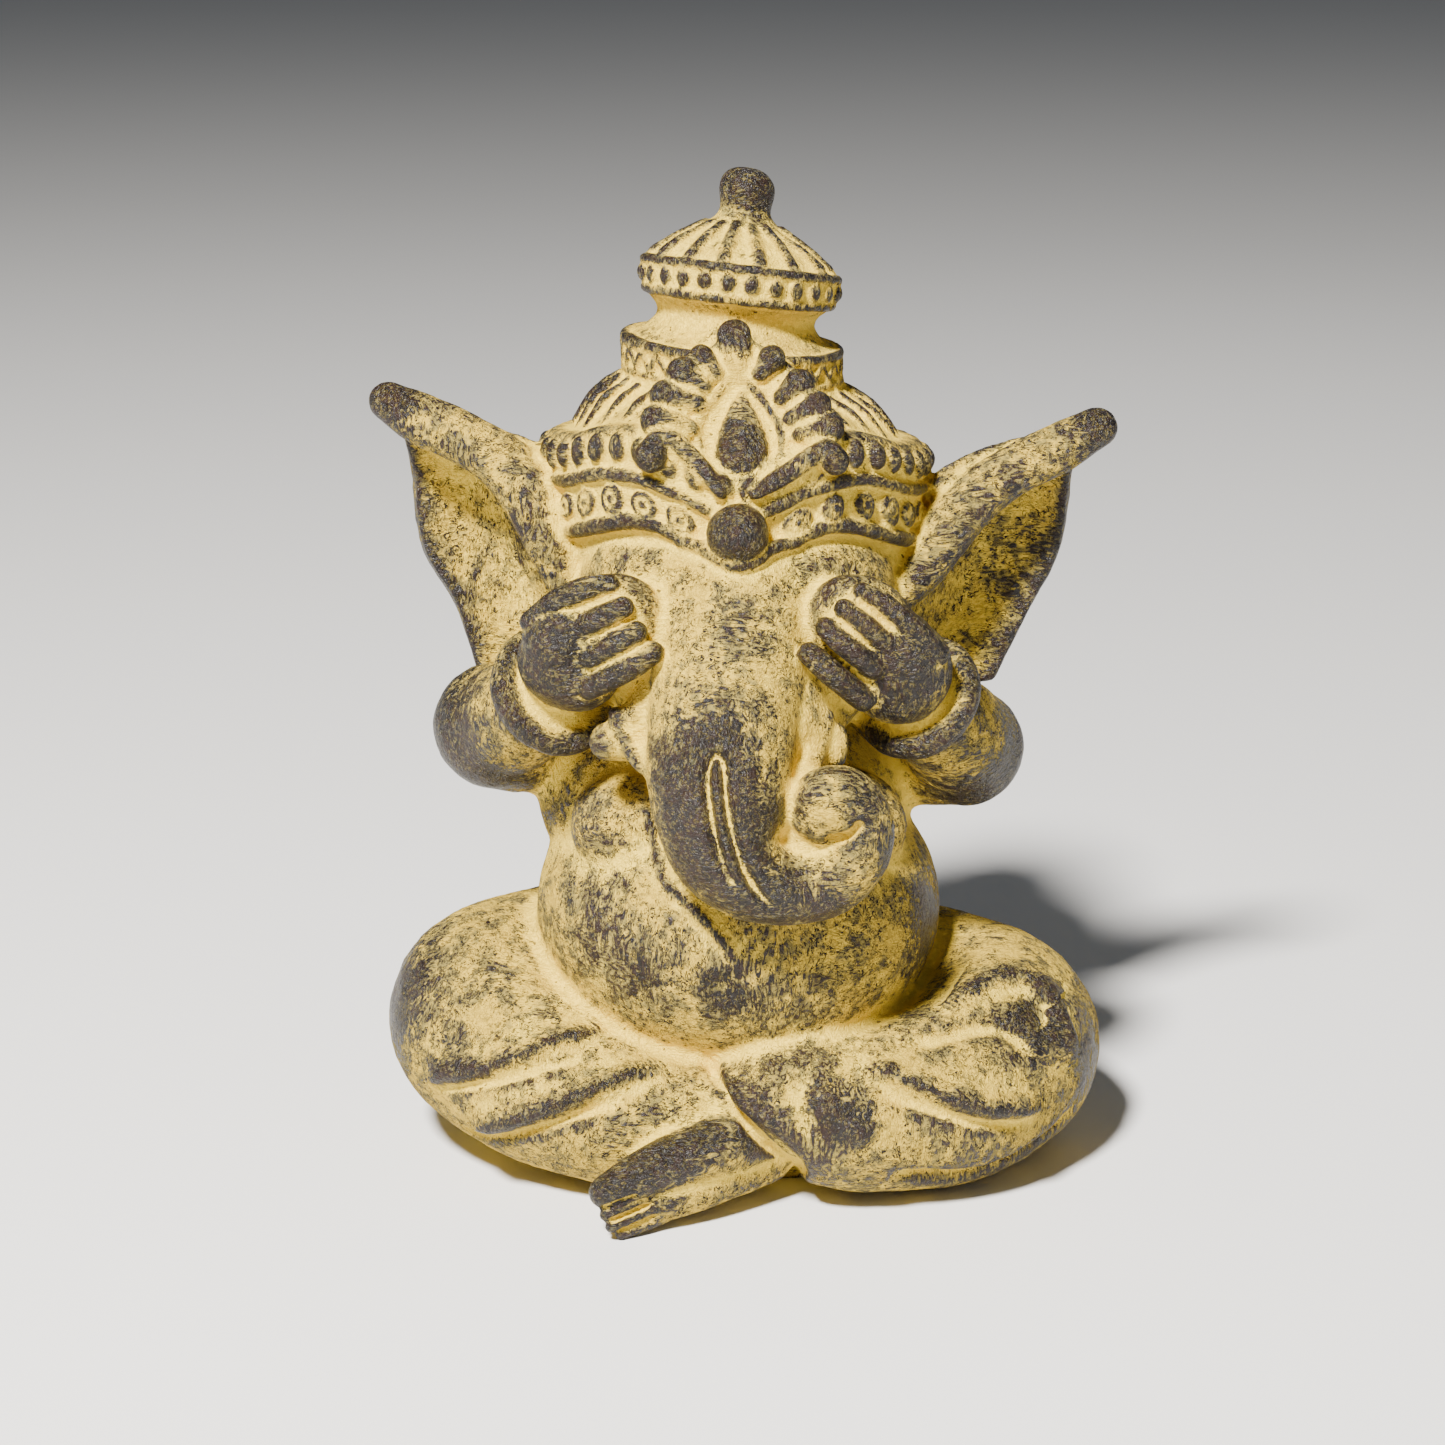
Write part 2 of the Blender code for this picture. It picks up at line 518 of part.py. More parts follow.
# What is pressed into or raised on the skin, as lines of (across, up) seen from the front.
# A fold has its width above, its width below and its height, a crease its width and depth.
FOLDS = (
    (((-79, 27), (-72, 30.5), (-63.5, 34), (-53.5, 38.5), (-44, 41.5), (-33, 43)), 5.0, 2.4, 2.6),
    (((-67, 17), (-58.5, 21.5), (-48.5, 26.5), (-38.5, 31), (-29, 34), (-17.5, 36)), 5.2, 2.4, 3.2),
    (((51, 47), (61.5, 50), (70.5, 50.5), (78, 46), (82, 39), (84, 31)), 8.0, 3.6, 2.6),
    (((30, 38.5), (38, 36.5), (46.5, 33.5), (56.5, 29), (66.5, 26), (76, 24)), 5.4, 2.4, 3.0),
    (((15, 33), (21, 31), (27, 27), (33, 21.5)), 7.0, 4.4, 1.6),
)
CREASES = (
    (((-76, 24.5), (-66, 29.5), (-56, 33.5), (-46, 37), (-37, 39)), 1.8, -1.3),
    (((-70, 15), (-65, 13.5), (-58, 17.5), (-48, 22.5), (-38, 27), (-28, 30.5)), 1.9, -2.0),
    (((40, 43), (50, 43.5), (60, 44.5), (68, 42), (73, 36)), 3.4, -1.9),
    (((34, 34), (46.5, 29.5), (58, 24.5), (70, 21)), 1.9, -1.4),
    (((37, 12), (47, 9.5), (57, 8), (68, 9.5), (78, 13), (85, 18)), 3.0, -4.2),
    (((21.9, 126), (21.4, 120.5), (20.4, 115)), 1.2, -1.5),
    (((-9.5, 37.5), (-5.5, 34), (-1.5, 29.5), (3, 24.5), (7, 19.5), (11, 14.5)), 1.5, -2.4),
)
HEM = ((-6, 38), (-2, 34), (2, 29.5), (6.5, 24), (10.5, 19), (14.5, 14))
CURL_COMMA = ((29, 106.5), (27.4, 104), (25, 102), (22.3, 101.4), (20, 102.4))
TRUNK_GROOVE = (
    (-0.9, 91.0), (-3.2, 95.2), (-5.0, 100.6), (-6.6, 106.6), (-7.5, 112.6), (-7.8, 117.6),
    (-7.2, 121.2), (-5.5, 123), (-3.8, 121.2), (-3.3, 116), (-2.6, 110.4), (-1.2, 103.8),
    (1.0, 97), (3.6, 91.4), (6.2, 87.6),
)
THREAD = (
    (-22.6, 98.3), (-21.6, 95), (-20.7, 91.5), (-20, 88.5), (-19, 85.5), (-17.5, 83), (-15, 81),
    (-12, 79), (-9, 76.5), (-6, 73.5), (-3.5, 70.5), (-1.5, 67),
)


def drawn_lines(skin):
    """The dhoti's folds, the line drawn down the trunk, the thread and the navel."""
    for line, width, under, height in FOLDS:
        skin.stroke(line, width, height, under)
    for line, width, depth in CREASES:
        skin.stroke(line, width, depth)
    skin.stroke(HEM, 2.0, 0.8)
    skin.stroke(TRUNK_GROOVE, 1.2, -1.2)
    skin.stroke(CURL_COMMA, 1.6, -3.2)
    skin.stroke(THREAD, 2.2, 0.9)
    skin.swell(-3.4, 59, 4.5, -1.6)


def cut_at_ground(statue):
    """A block below the ground takes off everything under it, which leaves the underside flat."""
    mesh = bpy.data.meshes.new("GroundCutter")
    block = bmesh.new()
    depth, spread = 60 * UNIT, 400 * UNIT
    matrix = Matrix.Translation((0, 0, -depth / 2)) @ Matrix.Diagonal((spread, spread, depth, 1))
    bmesh.ops.create_cube(block, size=1, matrix=matrix)
    block.to_mesh(mesh)
    block.free()
    cutter = bpy.data.objects.new("GroundCutter", mesh)
    cutter.hide_render = True
    cutter.display_type = "WIRE"
    bpy.context.scene.collection.objects.link(cutter)
    cut = statue.modifiers.new("Cut at the ground", "BOOLEAN")
    cut.operation = "DIFFERENCE"
    cut.object = cutter


def stone():
    material = bpy.data.materials.new("CastStone")
    material.use_nodes = True
    shader = material.node_tree.nodes["Principled BSDF"]
    shader.inputs["Base Color"].default_value = STONE
    shader.inputs["Roughness"].default_value = STONE_ROUGHNESS
    shader.inputs["Metallic"].default_value = 0.0
    return material


def main():
    for leftover in list(bpy.data.objects):
        bpy.data.objects.remove(leftover)
    clay = bmesh.new()
    for form in (torso, legs, arms, head):
        form(clay)
    clay = fuse(clay, MASS_GRAIN, MASS_ROUNDING)
    for form in (ears, trunk_and_mouth, hands, foot, crown_core, plaque_core):
        form(clay)
    clay = fuse(clay, FORM_GRAIN, FORM_ROUNDING)
    for form in (fingers, toes, crown_relief, plaque_relief):
        form(clay)
    clay = fuse(clay, RELIEF_GRAIN, RELIEF_ROUNDING)
    skin = Skin(clay)
    drawn_lines(skin)
    clay = skin.done()
    bmesh.ops.scale(clay, vec=(UNIT,) * 3, verts=clay.verts)
    mesh = bpy.data.meshes.new("baby_ganesha_statue")
    faces = sum(len(f.verts) - 2 for f in clay.faces)
    clay.to_mesh(mesh)
    clay.free()
    statue = bpy.data.objects.new("baby_ganesha_statue", mesh)
    bpy.context.scene.collection.objects.link(statue)
    mesh.materials.append(stone())
    thin_out = statue.modifiers.new("Fewer faces", "DECIMATE")
    thin_out.ratio = min(1.0, MOST_FACES / faces)
    cut_at_ground(statue)


main()
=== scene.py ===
"""A baby Ganesha sitting cross-legged and hiding his eyes, cast in stone and washed with ochre.

The casting is modelled as in clay. Plain forms are laid over each other and fused into one skin,
finer forms are laid on that and fused again, and folds, grooves and wrinkles are pressed into it.
It is then cut off flat at the ground. Where the stone stands proud it is rubbed dark, and the ochre
wash stays in its hollows.

Places and sizes are counted in units of a 250th of the statue's height, as (across, back, up):
x runs to the statue's left, y to its back, and z up from the ground under the crown's axis.
The stage and the noises of the finish are in metres.
"""

import math

import bpy
import numpy as np
from mathutils import Matrix, Vector
from mathutils.bvhtree import BVHTree


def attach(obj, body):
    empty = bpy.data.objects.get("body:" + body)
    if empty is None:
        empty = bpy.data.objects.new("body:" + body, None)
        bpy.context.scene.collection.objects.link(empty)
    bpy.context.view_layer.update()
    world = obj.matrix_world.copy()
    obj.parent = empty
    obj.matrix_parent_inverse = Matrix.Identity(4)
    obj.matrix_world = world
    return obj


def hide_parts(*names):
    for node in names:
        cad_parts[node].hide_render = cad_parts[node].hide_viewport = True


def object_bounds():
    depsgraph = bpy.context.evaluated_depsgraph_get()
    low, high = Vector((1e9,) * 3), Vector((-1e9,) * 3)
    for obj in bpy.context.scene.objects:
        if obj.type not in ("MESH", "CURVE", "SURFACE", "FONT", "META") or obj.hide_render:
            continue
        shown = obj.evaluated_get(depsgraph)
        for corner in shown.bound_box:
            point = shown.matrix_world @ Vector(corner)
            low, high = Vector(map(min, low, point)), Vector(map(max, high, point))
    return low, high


bl_info = {
    "name": "Baby Ganesha statue",
    "version": (1, 0, 0),
    "blender": (4, 5, 0),
    "location": "3D View > Sidebar > Statue",
    "description": "Models a small garden statue, its worn ochre finish and a plain studio",
    "category": "Add Mesh",
}

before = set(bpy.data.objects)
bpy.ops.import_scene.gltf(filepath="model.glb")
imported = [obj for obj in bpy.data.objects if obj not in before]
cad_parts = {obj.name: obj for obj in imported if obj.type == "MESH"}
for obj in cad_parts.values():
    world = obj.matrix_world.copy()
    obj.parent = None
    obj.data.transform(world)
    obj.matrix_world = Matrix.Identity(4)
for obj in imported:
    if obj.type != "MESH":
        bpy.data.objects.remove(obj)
CAD_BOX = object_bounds()
HEIGHT = CAD_BOX[1][2] - CAD_BOX[0][2]
UNITS_IN_HEIGHT = 250


# Sizes and colours that a user would change

class CastingSizes(bpy.types.PropertyGroup):
    height: bpy.props.FloatProperty(
        name="Height", description="From the ground to the top of the crown's knob",
        default=HEIGHT, min=0.05, max=2.0, unit="LENGTH")
    grain: bpy.props.FloatProperty(
        name="Grain", description="How finely the last layer is fused, in 250ths of the height",
        default=0.6, min=0.4, max=2.0)
    unevenness: bpy.props.FloatProperty(
        name="Unevenness",
        description="How far the hand-made surface wavers, in 250ths of the height",
        default=0.9, min=0.0, max=3.0)
    faces: bpy.props.IntProperty(
        name="Triangles", description="How many triangles the finished skin keeps",
        default=192000, min=10000, max=199000)


class StoneFinish(bpy.types.PropertyGroup):
    ochre: bpy.props.FloatVectorProperty(
        name="Ochre wash", description="The matt yellow wash in the hollows", subtype="COLOR",
        size=4, default=(0.56, 0.375, 0.038, 1), min=0, max=1)
    pale: bpy.props.FloatVectorProperty(
        name="Chalky ochre", description="The wash where it lies thick", subtype="COLOR",
        size=4, default=(0.82, 0.58, 0.062, 1), min=0, max=1)
    moss: bpy.props.FloatVectorProperty(
        name="Grey green", description="The stone where the wash is thin", subtype="COLOR",
        size=4, default=(0.100, 0.094, 0.042, 1), min=0, max=1)
    umber: bpy.props.FloatVectorProperty(
        name="Umber", description="The brown of freshly rubbed edges", subtype="COLOR",
        size=4, default=(0.022, 0.011, 0.008, 1), min=0, max=1)
    charcoal: bpy.props.FloatVectorProperty(
        name="Charcoal", description="The dark stone that rubbing has laid bare", subtype="COLOR",
        size=4, default=(0.0085, 0.0066, 0.0060, 1), min=0, max=1)


class StudioLight(bpy.types.PropertyGroup):
    key: bpy.props.FloatProperty(
        name="Key light", description="Strength of the high light at the front left",
        default=116.0, min=0, unit="POWER")
    fill: bpy.props.FloatProperty(
        name="Fill light", description="Strength of each low light, at the front right and behind",
        default=0.8, min=0, unit="POWER")
    sky: bpy.props.FloatProperty(
        name="Surroundings", description="Brightness of the pale surroundings",
        default=0.08, min=0, max=5)


# Shaping tools

def smooth_line(points, closed=False, steps=6):
    """Points along a smooth curve through the given ones; any further numbers follow."""
    given = np.array(points, float)
    if closed:
        padded = np.vstack([given[-1:], given, given[:2]])
    else:
        padded = np.vstack([2 * given[0] - given[1], given, 2 * given[-1] - given[-2]])
    line = []
    for a, b, c, d in zip(padded, padded[1:], padded[2:], padded[3:]):
        for t in np.arange(steps) / steps:
            line.append(0.5 * (2 * b + (c - a) * t + (2 * a - 5 * b + 4 * c - d) * t**2
                               + (3 * b - a - 3 * c + d) * t**3))
    if not closed:
        line.append(given[-1])
    return np.array(line)


def select_only(piece):
    """Makes one piece active, and the only one selected."""
    bpy.ops.object.select_all(action="DESELECT")
    piece.select_set(True)
    bpy.context.view_layer.objects.active = piece


def points_of(piece):
    """A piece's points, as rows of x, y and z."""
    flat = np.empty(len(piece.data.vertices) * 3)
    piece.data.vertices.foreach_get("co", flat)
    return flat.reshape(-1, 3)


def move_points(piece, points):
    """Puts a piece's points at new places."""
    piece.data.vertices.foreach_set("co", np.asarray(points, float).ravel())
    piece.data.update()


def lump(clay, place, radii, turn=(0, 0, 0), fineness=4):
    """An egg-shaped lump; turn is in degrees about x, y and z."""
    if isinstance(radii, (int, float)):
        radii = (radii,) * 3
    bpy.ops.mesh.primitive_ico_sphere_add(
        subdivisions=fineness, radius=1, location=place,
        rotation=[math.radians(a) for a in turn], scale=radii)
    clay.append(bpy.context.object)


def limb(clay, line, flat=1.0, facing=(0, -1, 0), closed=False, ends=(True, True), fineness=6):
    """A round limb along a curve of (x, y, z, radius). flat thins it in the direction it faces."""
    path = smooth_line(line, closed)
    bpy.ops.curve.primitive_nurbs_path_add()
    curve = bpy.context.object.data
    spline = curve.splines[0]
    spline.type = "POLY"
    spline.use_cyclic_u = closed
    spline.points.add(len(path) - len(spline.points))
    for point, (x, y, z, radius) in zip(spline.points, path):
        point.co = (x, y, z, 1)
        point.radius = radius
    curve.bevel_depth = 1.0
    curve.bevel_resolution = fineness
    curve.use_fill_caps = True
    bpy.ops.object.convert(target="MESH")
    tube = bpy.context.object
    made = [tube]
    if not closed:
        for wanted, (x, y, z, radius) in zip(ends, (path[0], path[-1])):
            if wanted:
                lump(made, (x, y, z), float(radius), fineness=3)
    if flat != 1.0:
        flatten(made, path[:, :3], flat, facing)
    clay.extend(made)


def flatten(pieces, path, flat, facing):
    """Presses a limb and its ends towards its own path, in the direction it faces."""
    ahead = np.gradient(path, axis=0)
    ahead /= np.linalg.norm(ahead, axis=1)[:, None]
    front = np.array(facing, float)
    press = front - ahead * (ahead @ front)[:, None]
    press /= np.linalg.norm(press, axis=1)[:, None]
    for piece in pieces:
        select_only(piece)
        bpy.ops.object.transform_apply(location=True, rotation=True, scale=True)
        points = points_of(piece)
        nearest = np.linalg.norm(points[:, None] - path[None], axis=2).argmin(1)
        way = press[nearest]
        out = np.einsum("ij,ij->i", points - path[nearest], way)
        move_points(piece, points - way * (out * (1 - flat))[:, None])


def leaf(clay, rows, thickness):
    """A bent plate through rows of points, each row and each column a smooth curve."""
    across = [smooth_line(row, steps=8) for row in rows]
    net = np.array([smooth_line(column, steps=8) for column in zip(*across)])
    columns, lines = net.shape[:2]
    bpy.ops.mesh.primitive_grid_add(x_subdivisions=columns - 1, y_subdivisions=lines - 1, size=2)
    plate = bpy.context.object
    flat = points_of(plate)
    column = np.rint((flat[:, 0] + 1) / 2 * (columns - 1)).astype(int)
    line = np.rint((flat[:, 1] + 1) / 2 * (lines - 1)).astype(int)
    move_points(plate, net[column, line])
    finish_with(plate, "SOLIDIFY", thickness=thickness, offset=0.0)
    clay.append(plate)


def finish_with(piece, kind, **settings):
    """Adds a modifier to a piece and applies it."""
    select_only(piece)
    modifier = piece.modifiers.new(kind.title(), kind)
    for name, value in settings.items():
        setattr(modifier, name, value)
    bpy.ops.object.modifier_apply(modifier=modifier.name)


# How strongly a fused skin is smoothed in each round, and the rounds for a crease one grain wide
FUSE_SMOOTHING, FUSE_ROUNDS = 0.5, 2
# How far a copy's unevenness turns it, in degrees, and how far it swells it
TURNED, SWOLLEN = 3, 4


def join(clay):
    """Joins pieces of clay into one, with its place in its mesh."""
    bpy.ops.object.select_all(action="DESELECT")
    for piece in clay:
        piece.select_set(True)
    bpy.context.view_layer.objects.active = clay[0]
    if len(clay) > 1:
        bpy.ops.object.join()
    bpy.ops.object.transform_apply(location=True, rotation=True, scale=True)
    return bpy.context.object


def fuse(clay, grain, rounding):
    """Fuses overlapping forms into one skin and rounds its creases."""
    whole = join(clay)
    finish_with(whole, "REMESH", mode="VOXEL", voxel_size=grain)
    rounds = max(1, round(FUSE_ROUNDS * (rounding / grain) ** 2))
    finish_with(whole, "SMOOTH", factor=FUSE_SMOOTHING, iterations=rounds)
    return [whole]


def turned_copies(clay, model, count, chance, phase=0.5, wobble=0.0, skip=None):
    """Copies of one bead or rib round the upright crown, none quite like the next."""
    for k in range(count):
        angle = (k + phase) * 360 / count
        if skip and skip(angle):
            continue
        copy = model.copy()
        copy.data = model.data.copy()
        bpy.context.scene.collection.objects.link(copy)
        turn = math.radians(angle + chance.normal() * wobble * TURNED)
        copy.matrix_world = Matrix.Rotation(turn, 4, "Z") @ model.matrix_world
        own = points_of(copy)
        middle = own.mean(0)
        swell = 1 + chance.normal(size=3) * wobble * SWOLLEN
        move_points(copy, middle + (own - middle) * swell)
        clay.append(copy)
    bpy.data.objects.remove(model)


# The crown is modelled upright and then leant over

CROWN_OUTLINE = (
    (0.0, 150.0), (40.0, 152.0), (43.5, 157.5), (45.3, 160.5), (45.6, 166.0), (46.2, 172.0),
    (46.8, 178.0), (46.9, 182.0), (45.2, 184.2), (40.4, 184.8), (38.8, 186.4), (36.2, 189.4),
    (32.4, 193.0), (29.0, 196.0), (27.2, 198.4), (26.6, 200.0), (26.4, 205.5), (25.2, 208.0),
    (21.8, 209.6), (19.4, 212.4), (19.8, 215.0), (22.0, 216.8), (23.6, 219.5), (23.8, 223.0),
    (22.8, 225.6), (20.2, 228.4), (16.4, 231.2), (12.2, 233.8), (8.6, 236.2), (6.6, 238.2),
    (6.3, 240.0), (6.8, 243.0), (6.5, 246.2), (4.6, 248.9), (2.4, 249.8), (0.0, 250.0),
)
LEAN_HEIGHTS = (150, 185, 206, 222, 250)
LEAN_ASIDE = (0.02, 0.03, 0.08, 0.12, 0.11)
LEAN_BACK = (0.07, 0.07, 0.0, 0.14, 0.14)
LEAN_SHIFT = (-0.3, -0.8, -1.6, 0.3, 2.2)
BROW_ARCH_RISE, BROW_ARCH_ANGLE, BROW_ARCH_WIDTH = 5.5, 36.0, 22.0
BROW_DIP, BROW_DIP_WIDTH = 3.5, 14.0
BAND_FADE_FROM, BAND_FADE_TO = 186.0, 197.0


def lean(points):
    """Leans upright crown points over, arches the band at the brow and dips it between."""
    x, y, height = points.T
    angle = np.degrees(np.arctan2(x, -y))
    aside = np.interp(height, LEAN_HEIGHTS, LEAN_ASIDE)
    back = np.interp(height, LEAN_HEIGHTS, LEAN_BACK)
    shift = np.interp(height, LEAN_HEIGHTS, LEAN_SHIFT)
    off_front = np.abs(angle)
    rise = BROW_ARCH_RISE * np.exp(-(((off_front - BROW_ARCH_ANGLE) / BROW_ARCH_WIDTH) ** 2))
    rise -= BROW_DIP * np.exp(-((off_front / BROW_DIP_WIDTH) ** 2))
    rise *= np.interp(height, (BAND_FADE_FROM, BAND_FADE_TO), (1, 0))
    return np.column_stack([x + shift, y, height - x * aside - y * back + rise])


def lean_over(pieces):
    """Joins upright pieces of the crown and leans them over."""
    crown = join(pieces)
    move_points(crown, lean(points_of(crown)))
    return crown


def crown_core(clay):
    """The tiers, spun from their outline."""
    outline = smooth_line(CROWN_OUTLINE, steps=3)
    outline[:, 0] = np.clip(outline[:, 0], 0, None)
    bpy.ops.curve.primitive_nurbs_path_add()
    spline = bpy.context.object.data.splines[0]
    spline.type = "POLY"
    spline.points.add(len(outline) - len(spline.points))
    for point, (radius, height) in zip(spline.points, outline):
        point.co = (0, -radius, height, 1)
    bpy.ops.object.convert(target="MESH")
    bpy.ops.object.mode_set(mode="EDIT")
    bpy.ops.mesh.select_all(action="SELECT")
    bpy.ops.mesh.spin(steps=120, angle=math.tau, center=(0, 0, 0), axis=(0, 0, 1))
    bpy.ops.mesh.select_all(action="SELECT")
    bpy.ops.mesh.remove_doubles(threshold=0.001)
    bpy.ops.mesh.normals_make_consistent(inside=False)
    bpy.ops.object.mode_set(mode="OBJECT")
    clay.append(lean_over([bpy.context.object]))


def hoop(clay, radius, height, thickness):
    """A raised line round the crown."""
    bpy.ops.mesh.primitive_torus_add(
        location=(0, 0, height), major_radius=radius, minor_radius=thickness,
        major_segments=120, minor_segments=10)
    clay.append(bpy.context.object)


def lift_lowest_hoop(piece):
    """Raises the lowest line on both sides of the brow's point."""
    points = points_of(piece)
    off_front = np.abs(np.degrees(np.arctan2(points[:, 0], -points[:, 1])))
    away = (off_front - LOWEST_LIFT_ANGLE) / LOWEST_LIFT_WIDTH
    points[:, 2] += LOWEST_LIFT * np.exp(-(away**2))
    move_points(piece, points)


ROSETTE_HEIGHT, ROSETTE_PHASE, DOT_OUT = 166.6, 0.54, 0.3


def rosette(clay, radius, height, size, thickness, dot):
    """A ring standing on the band with a dot in its middle, made at the crown's front."""
    made = []
    bpy.ops.mesh.primitive_torus_add(
        location=(0, -radius, height), rotation=(math.radians(90), 0, 0), major_radius=size,
        minor_radius=thickness, major_segments=20, minor_segments=8)
    made.append(bpy.context.object)
    lump(made, (0, -radius - DOT_OUT, height), dot, fineness=2)
    clay.append(join(made))


BAND_LOWER_BEADS, BAND_UPPER_BEADS, TIER_TEETH, LID_BEADS = 31, 44, 30, 26
DOME_RIBS, LID_RIBS = 30, 16
HOOPS = (
    (45.2, 160.4, 2.3), (46.6, 172.8, 1.9), (26.6, 199.6, 1.1), (26.4, 206.8, 1.4),
    (23.6, 225.0, 1.3), (23.0, 218.4, 1.2),
)
LOWEST_LIFT, LOWEST_LIFT_ANGLE, LOWEST_LIFT_WIDTH = 2.3, 25.0, 13.0
PLAQUE_HALF_ANGLE = 9.0


def crown_relief(clay):
    """The raised lines, rosettes, beads, teeth and ribs of the crown's tiers."""
    chance = np.random.default_rng(11)
    upright = []
    for radius, height, thickness in HOOPS:
        hoop(upright, radius, height, thickness)
    lift_lowest_hoop(upright[0])

    def near_plaque(angle):
        return abs((angle + 180) % 360 - 180) < PLAQUE_HALF_ANGLE

    model = []
    # crisp rosettes on the statue's right half, and blunter, less even ones on its left
    rosette(model, 46.4, ROSETTE_HEIGHT, 2.7, 0.95, (1.2, 1.3, 1.2))
    turned_copies(upright, model.pop(), BAND_LOWER_BEADS, chance, phase=ROSETTE_PHASE,
                  wobble=0.012, skip=lambda a: 0 < a < 180 or near_plaque(a))
    rosette(model, 46.3, ROSETTE_HEIGHT, 2.3, 1.25, (1.4, 1.5, 1.4))
    turned_copies(upright, model.pop(), BAND_LOWER_BEADS, chance, phase=ROSETTE_PHASE,
                  wobble=0.035, skip=lambda a: a > 180 or near_plaque(a))
    for count, radius, height, size in (
        (BAND_UPPER_BEADS, 46.9, 179.2, (2.75, 2.4, 3.6)),
        (LID_BEADS, 23.9, 221.7, (1.9, 1.4, 2.2)),
    ):
        lump(model, (0, -radius, height), size, fineness=3)
        turned_copies(upright, model.pop(), count, chance, wobble=0.012)
    limb(model, ((-2.6, -26.8, 201.2, 0.75), (-1.2, -27.0, 204.6, 0.8), (0.6, -27.0, 204.8, 0.8),
                 (2.4, -26.8, 201.2, 0.75)), fineness=2)
    turned_copies(upright, join(model), TIER_TEETH, chance, wobble=0.01)
    for count, line in (
        (DOME_RIBS, ((39.0, 186.0, 1.2), (34.5, 192.9, 1.15), (28.5, 197.2, 0.9))),
        (LID_RIBS, ((21.2, 226.6, 2.2), (15.8, 230.5, 2.1), (9.2, 235.1, 1.3))),
    ):
        model = []
        limb(model, [(0, -r, h, t) for r, h, t in line], fineness=3)
        turned_copies(upright, join(model), count, chance, wobble=0.01)
    clay.append(lean_over(upright))


# The plaque on the crown's front, which leans back

PLAQUE_FOOT = Vector((0.0, -49.0, 170.4))
PLAQUE_UP = Vector((0.0, 22.0, 46.0)).normalized()
PLAQUE_OUT = Vector((0.0, -46.0, 22.0)).normalized()
PLAQUE_OUTLINE = (
    (-1, 48), (-8.5, 43.5), (-15.5, 38.5), (-20, 31), (-21.5, 23), (-20, 15), (-7, 4),
    (7, 4), (20, 13), (22, 20), (20.5, 28), (16.5, 36), (8.5, 43),
)
PLAQUE_LOBES = (
    ((-6.0, 37.5, 2.2), (-9.1, 41.8, 3.0)), ((-9.0, 34.6, 2.6), (-13.2, 37.6, 4.2)),
    ((-10.2, 30.0, 2.6), (-14.0, 31.2, 3.3), (-17.6, 32.2, 3.7)),
    ((-12.0, 24.0, 2.6), (-15.6, 25.2, 3.4), (-19.8, 26.0, 3.9)),
    ((4.8, 37.6, 2.0), (7.6, 41.4, 3.2)), ((10.2, 31.6, 2.4), (14.4, 35.0, 3.7)),
    ((12.4, 26.8, 2.4), (18.2, 29.6, 3.7)), ((14.6, 22.4, 2.4), (21.2, 24.2, 3.8)),
)
PLAQUE_SCROLLS = (
    ((-20.8, 17.0, 4.0), (-18.6, 20.8, 2.9), (-15.6, 20.6, 2.7), (-11.5, 17.0, 2.5),
     (-7.6, 12.6, 2.1), (-4.6, 8.2, 1.5)),
    ((22.6, 15.8, 3.3), (20.6, 18.2, 2.8), (16.8, 16.8, 2.6), (12.0, 13.4, 2.4),
     (7.6, 10.6, 2.1), (3.9, 8.0, 1.5)),
)
JEWEL_FRAME = (
    (-0.3, 39.0), (-3.4, 34.8), (-6.6, 31.0), (-9.2, 26.0), (-9.6, 20.8), (-8.0, 15.2),
    (-4.6, 11.2), (-0.2, 9.6), (4.4, 11.0), (8.6, 15.2), (10.2, 21.0), (9.0, 26.2), (5.8, 30.8),
    (2.6, 34.8),
)
JEWEL_LINE = ((0.6, 18.4, 6.8), (0.5, 24.0, 5.6), (0.5, 28.6, 3.4), (0.6, 32.6, 1.2))
PLAQUE_TIP = ((-1.4, 47.4, 4.3), (-1.0, 43.4, 4.4), (-0.5, 39.6, 4.0), (-0.3, 36.4, 2.4))
BOSS_RADIUS = 7.3
PLATE_BACK, PLATE_THICKNESS = -15.0, 16.2
LOBES_OUT, SCROLLS_OUT, JEWEL_OUT, TIP_OUT, BOSS_OUT = 2.4, 4.2, 1.4, 0.8, 0.5
BROW_POINT = (
    (-14, -44.5, 166.8, 1.6), (-7.8, -48.6, 165.6, 1.9), (-3.6, -51.5, 163.8, 2.1),
    (-0.2, -52.4, 163.0, 2.2), (3.4, -51.5, 164.0, 2.1), (7.4, -48.6, 165.9, 1.9),
    (13.5, -44.5, 166.8, 1.6),
)


def on_plaque(across, up, out=0.0):
    """A place on the plaque: across to the statue's left, up it from its foot, and out of it."""
    return PLAQUE_FOOT + Vector((across, 0, 0)) + PLAQUE_UP * up + PLAQUE_OUT * out


def plaque_core(clay):
    """The plaque's plate, which backs on to the crown, extruded from its outline."""
    outline = smooth_line(PLAQUE_OUTLINE, closed=True, steps=6)
    bpy.ops.mesh.primitive_circle_add(vertices=len(outline), radius=1, fill_type="NGON")
    plate = bpy.context.object
    move_points(plate, [on_plaque(x, s, PLATE_BACK) for x, s in outline])
    bpy.ops.object.mode_set(mode="EDIT")
    bpy.ops.mesh.select_all(action="SELECT")
    bpy.ops.mesh.extrude_region_move(
        TRANSFORM_OT_translate={"value": PLAQUE_OUT * PLATE_THICKNESS})
    bpy.ops.mesh.select_all(action="SELECT")
    bpy.ops.mesh.normals_make_consistent(inside=False)
    bpy.ops.object.mode_set(mode="OBJECT")
    clay.append(plate)


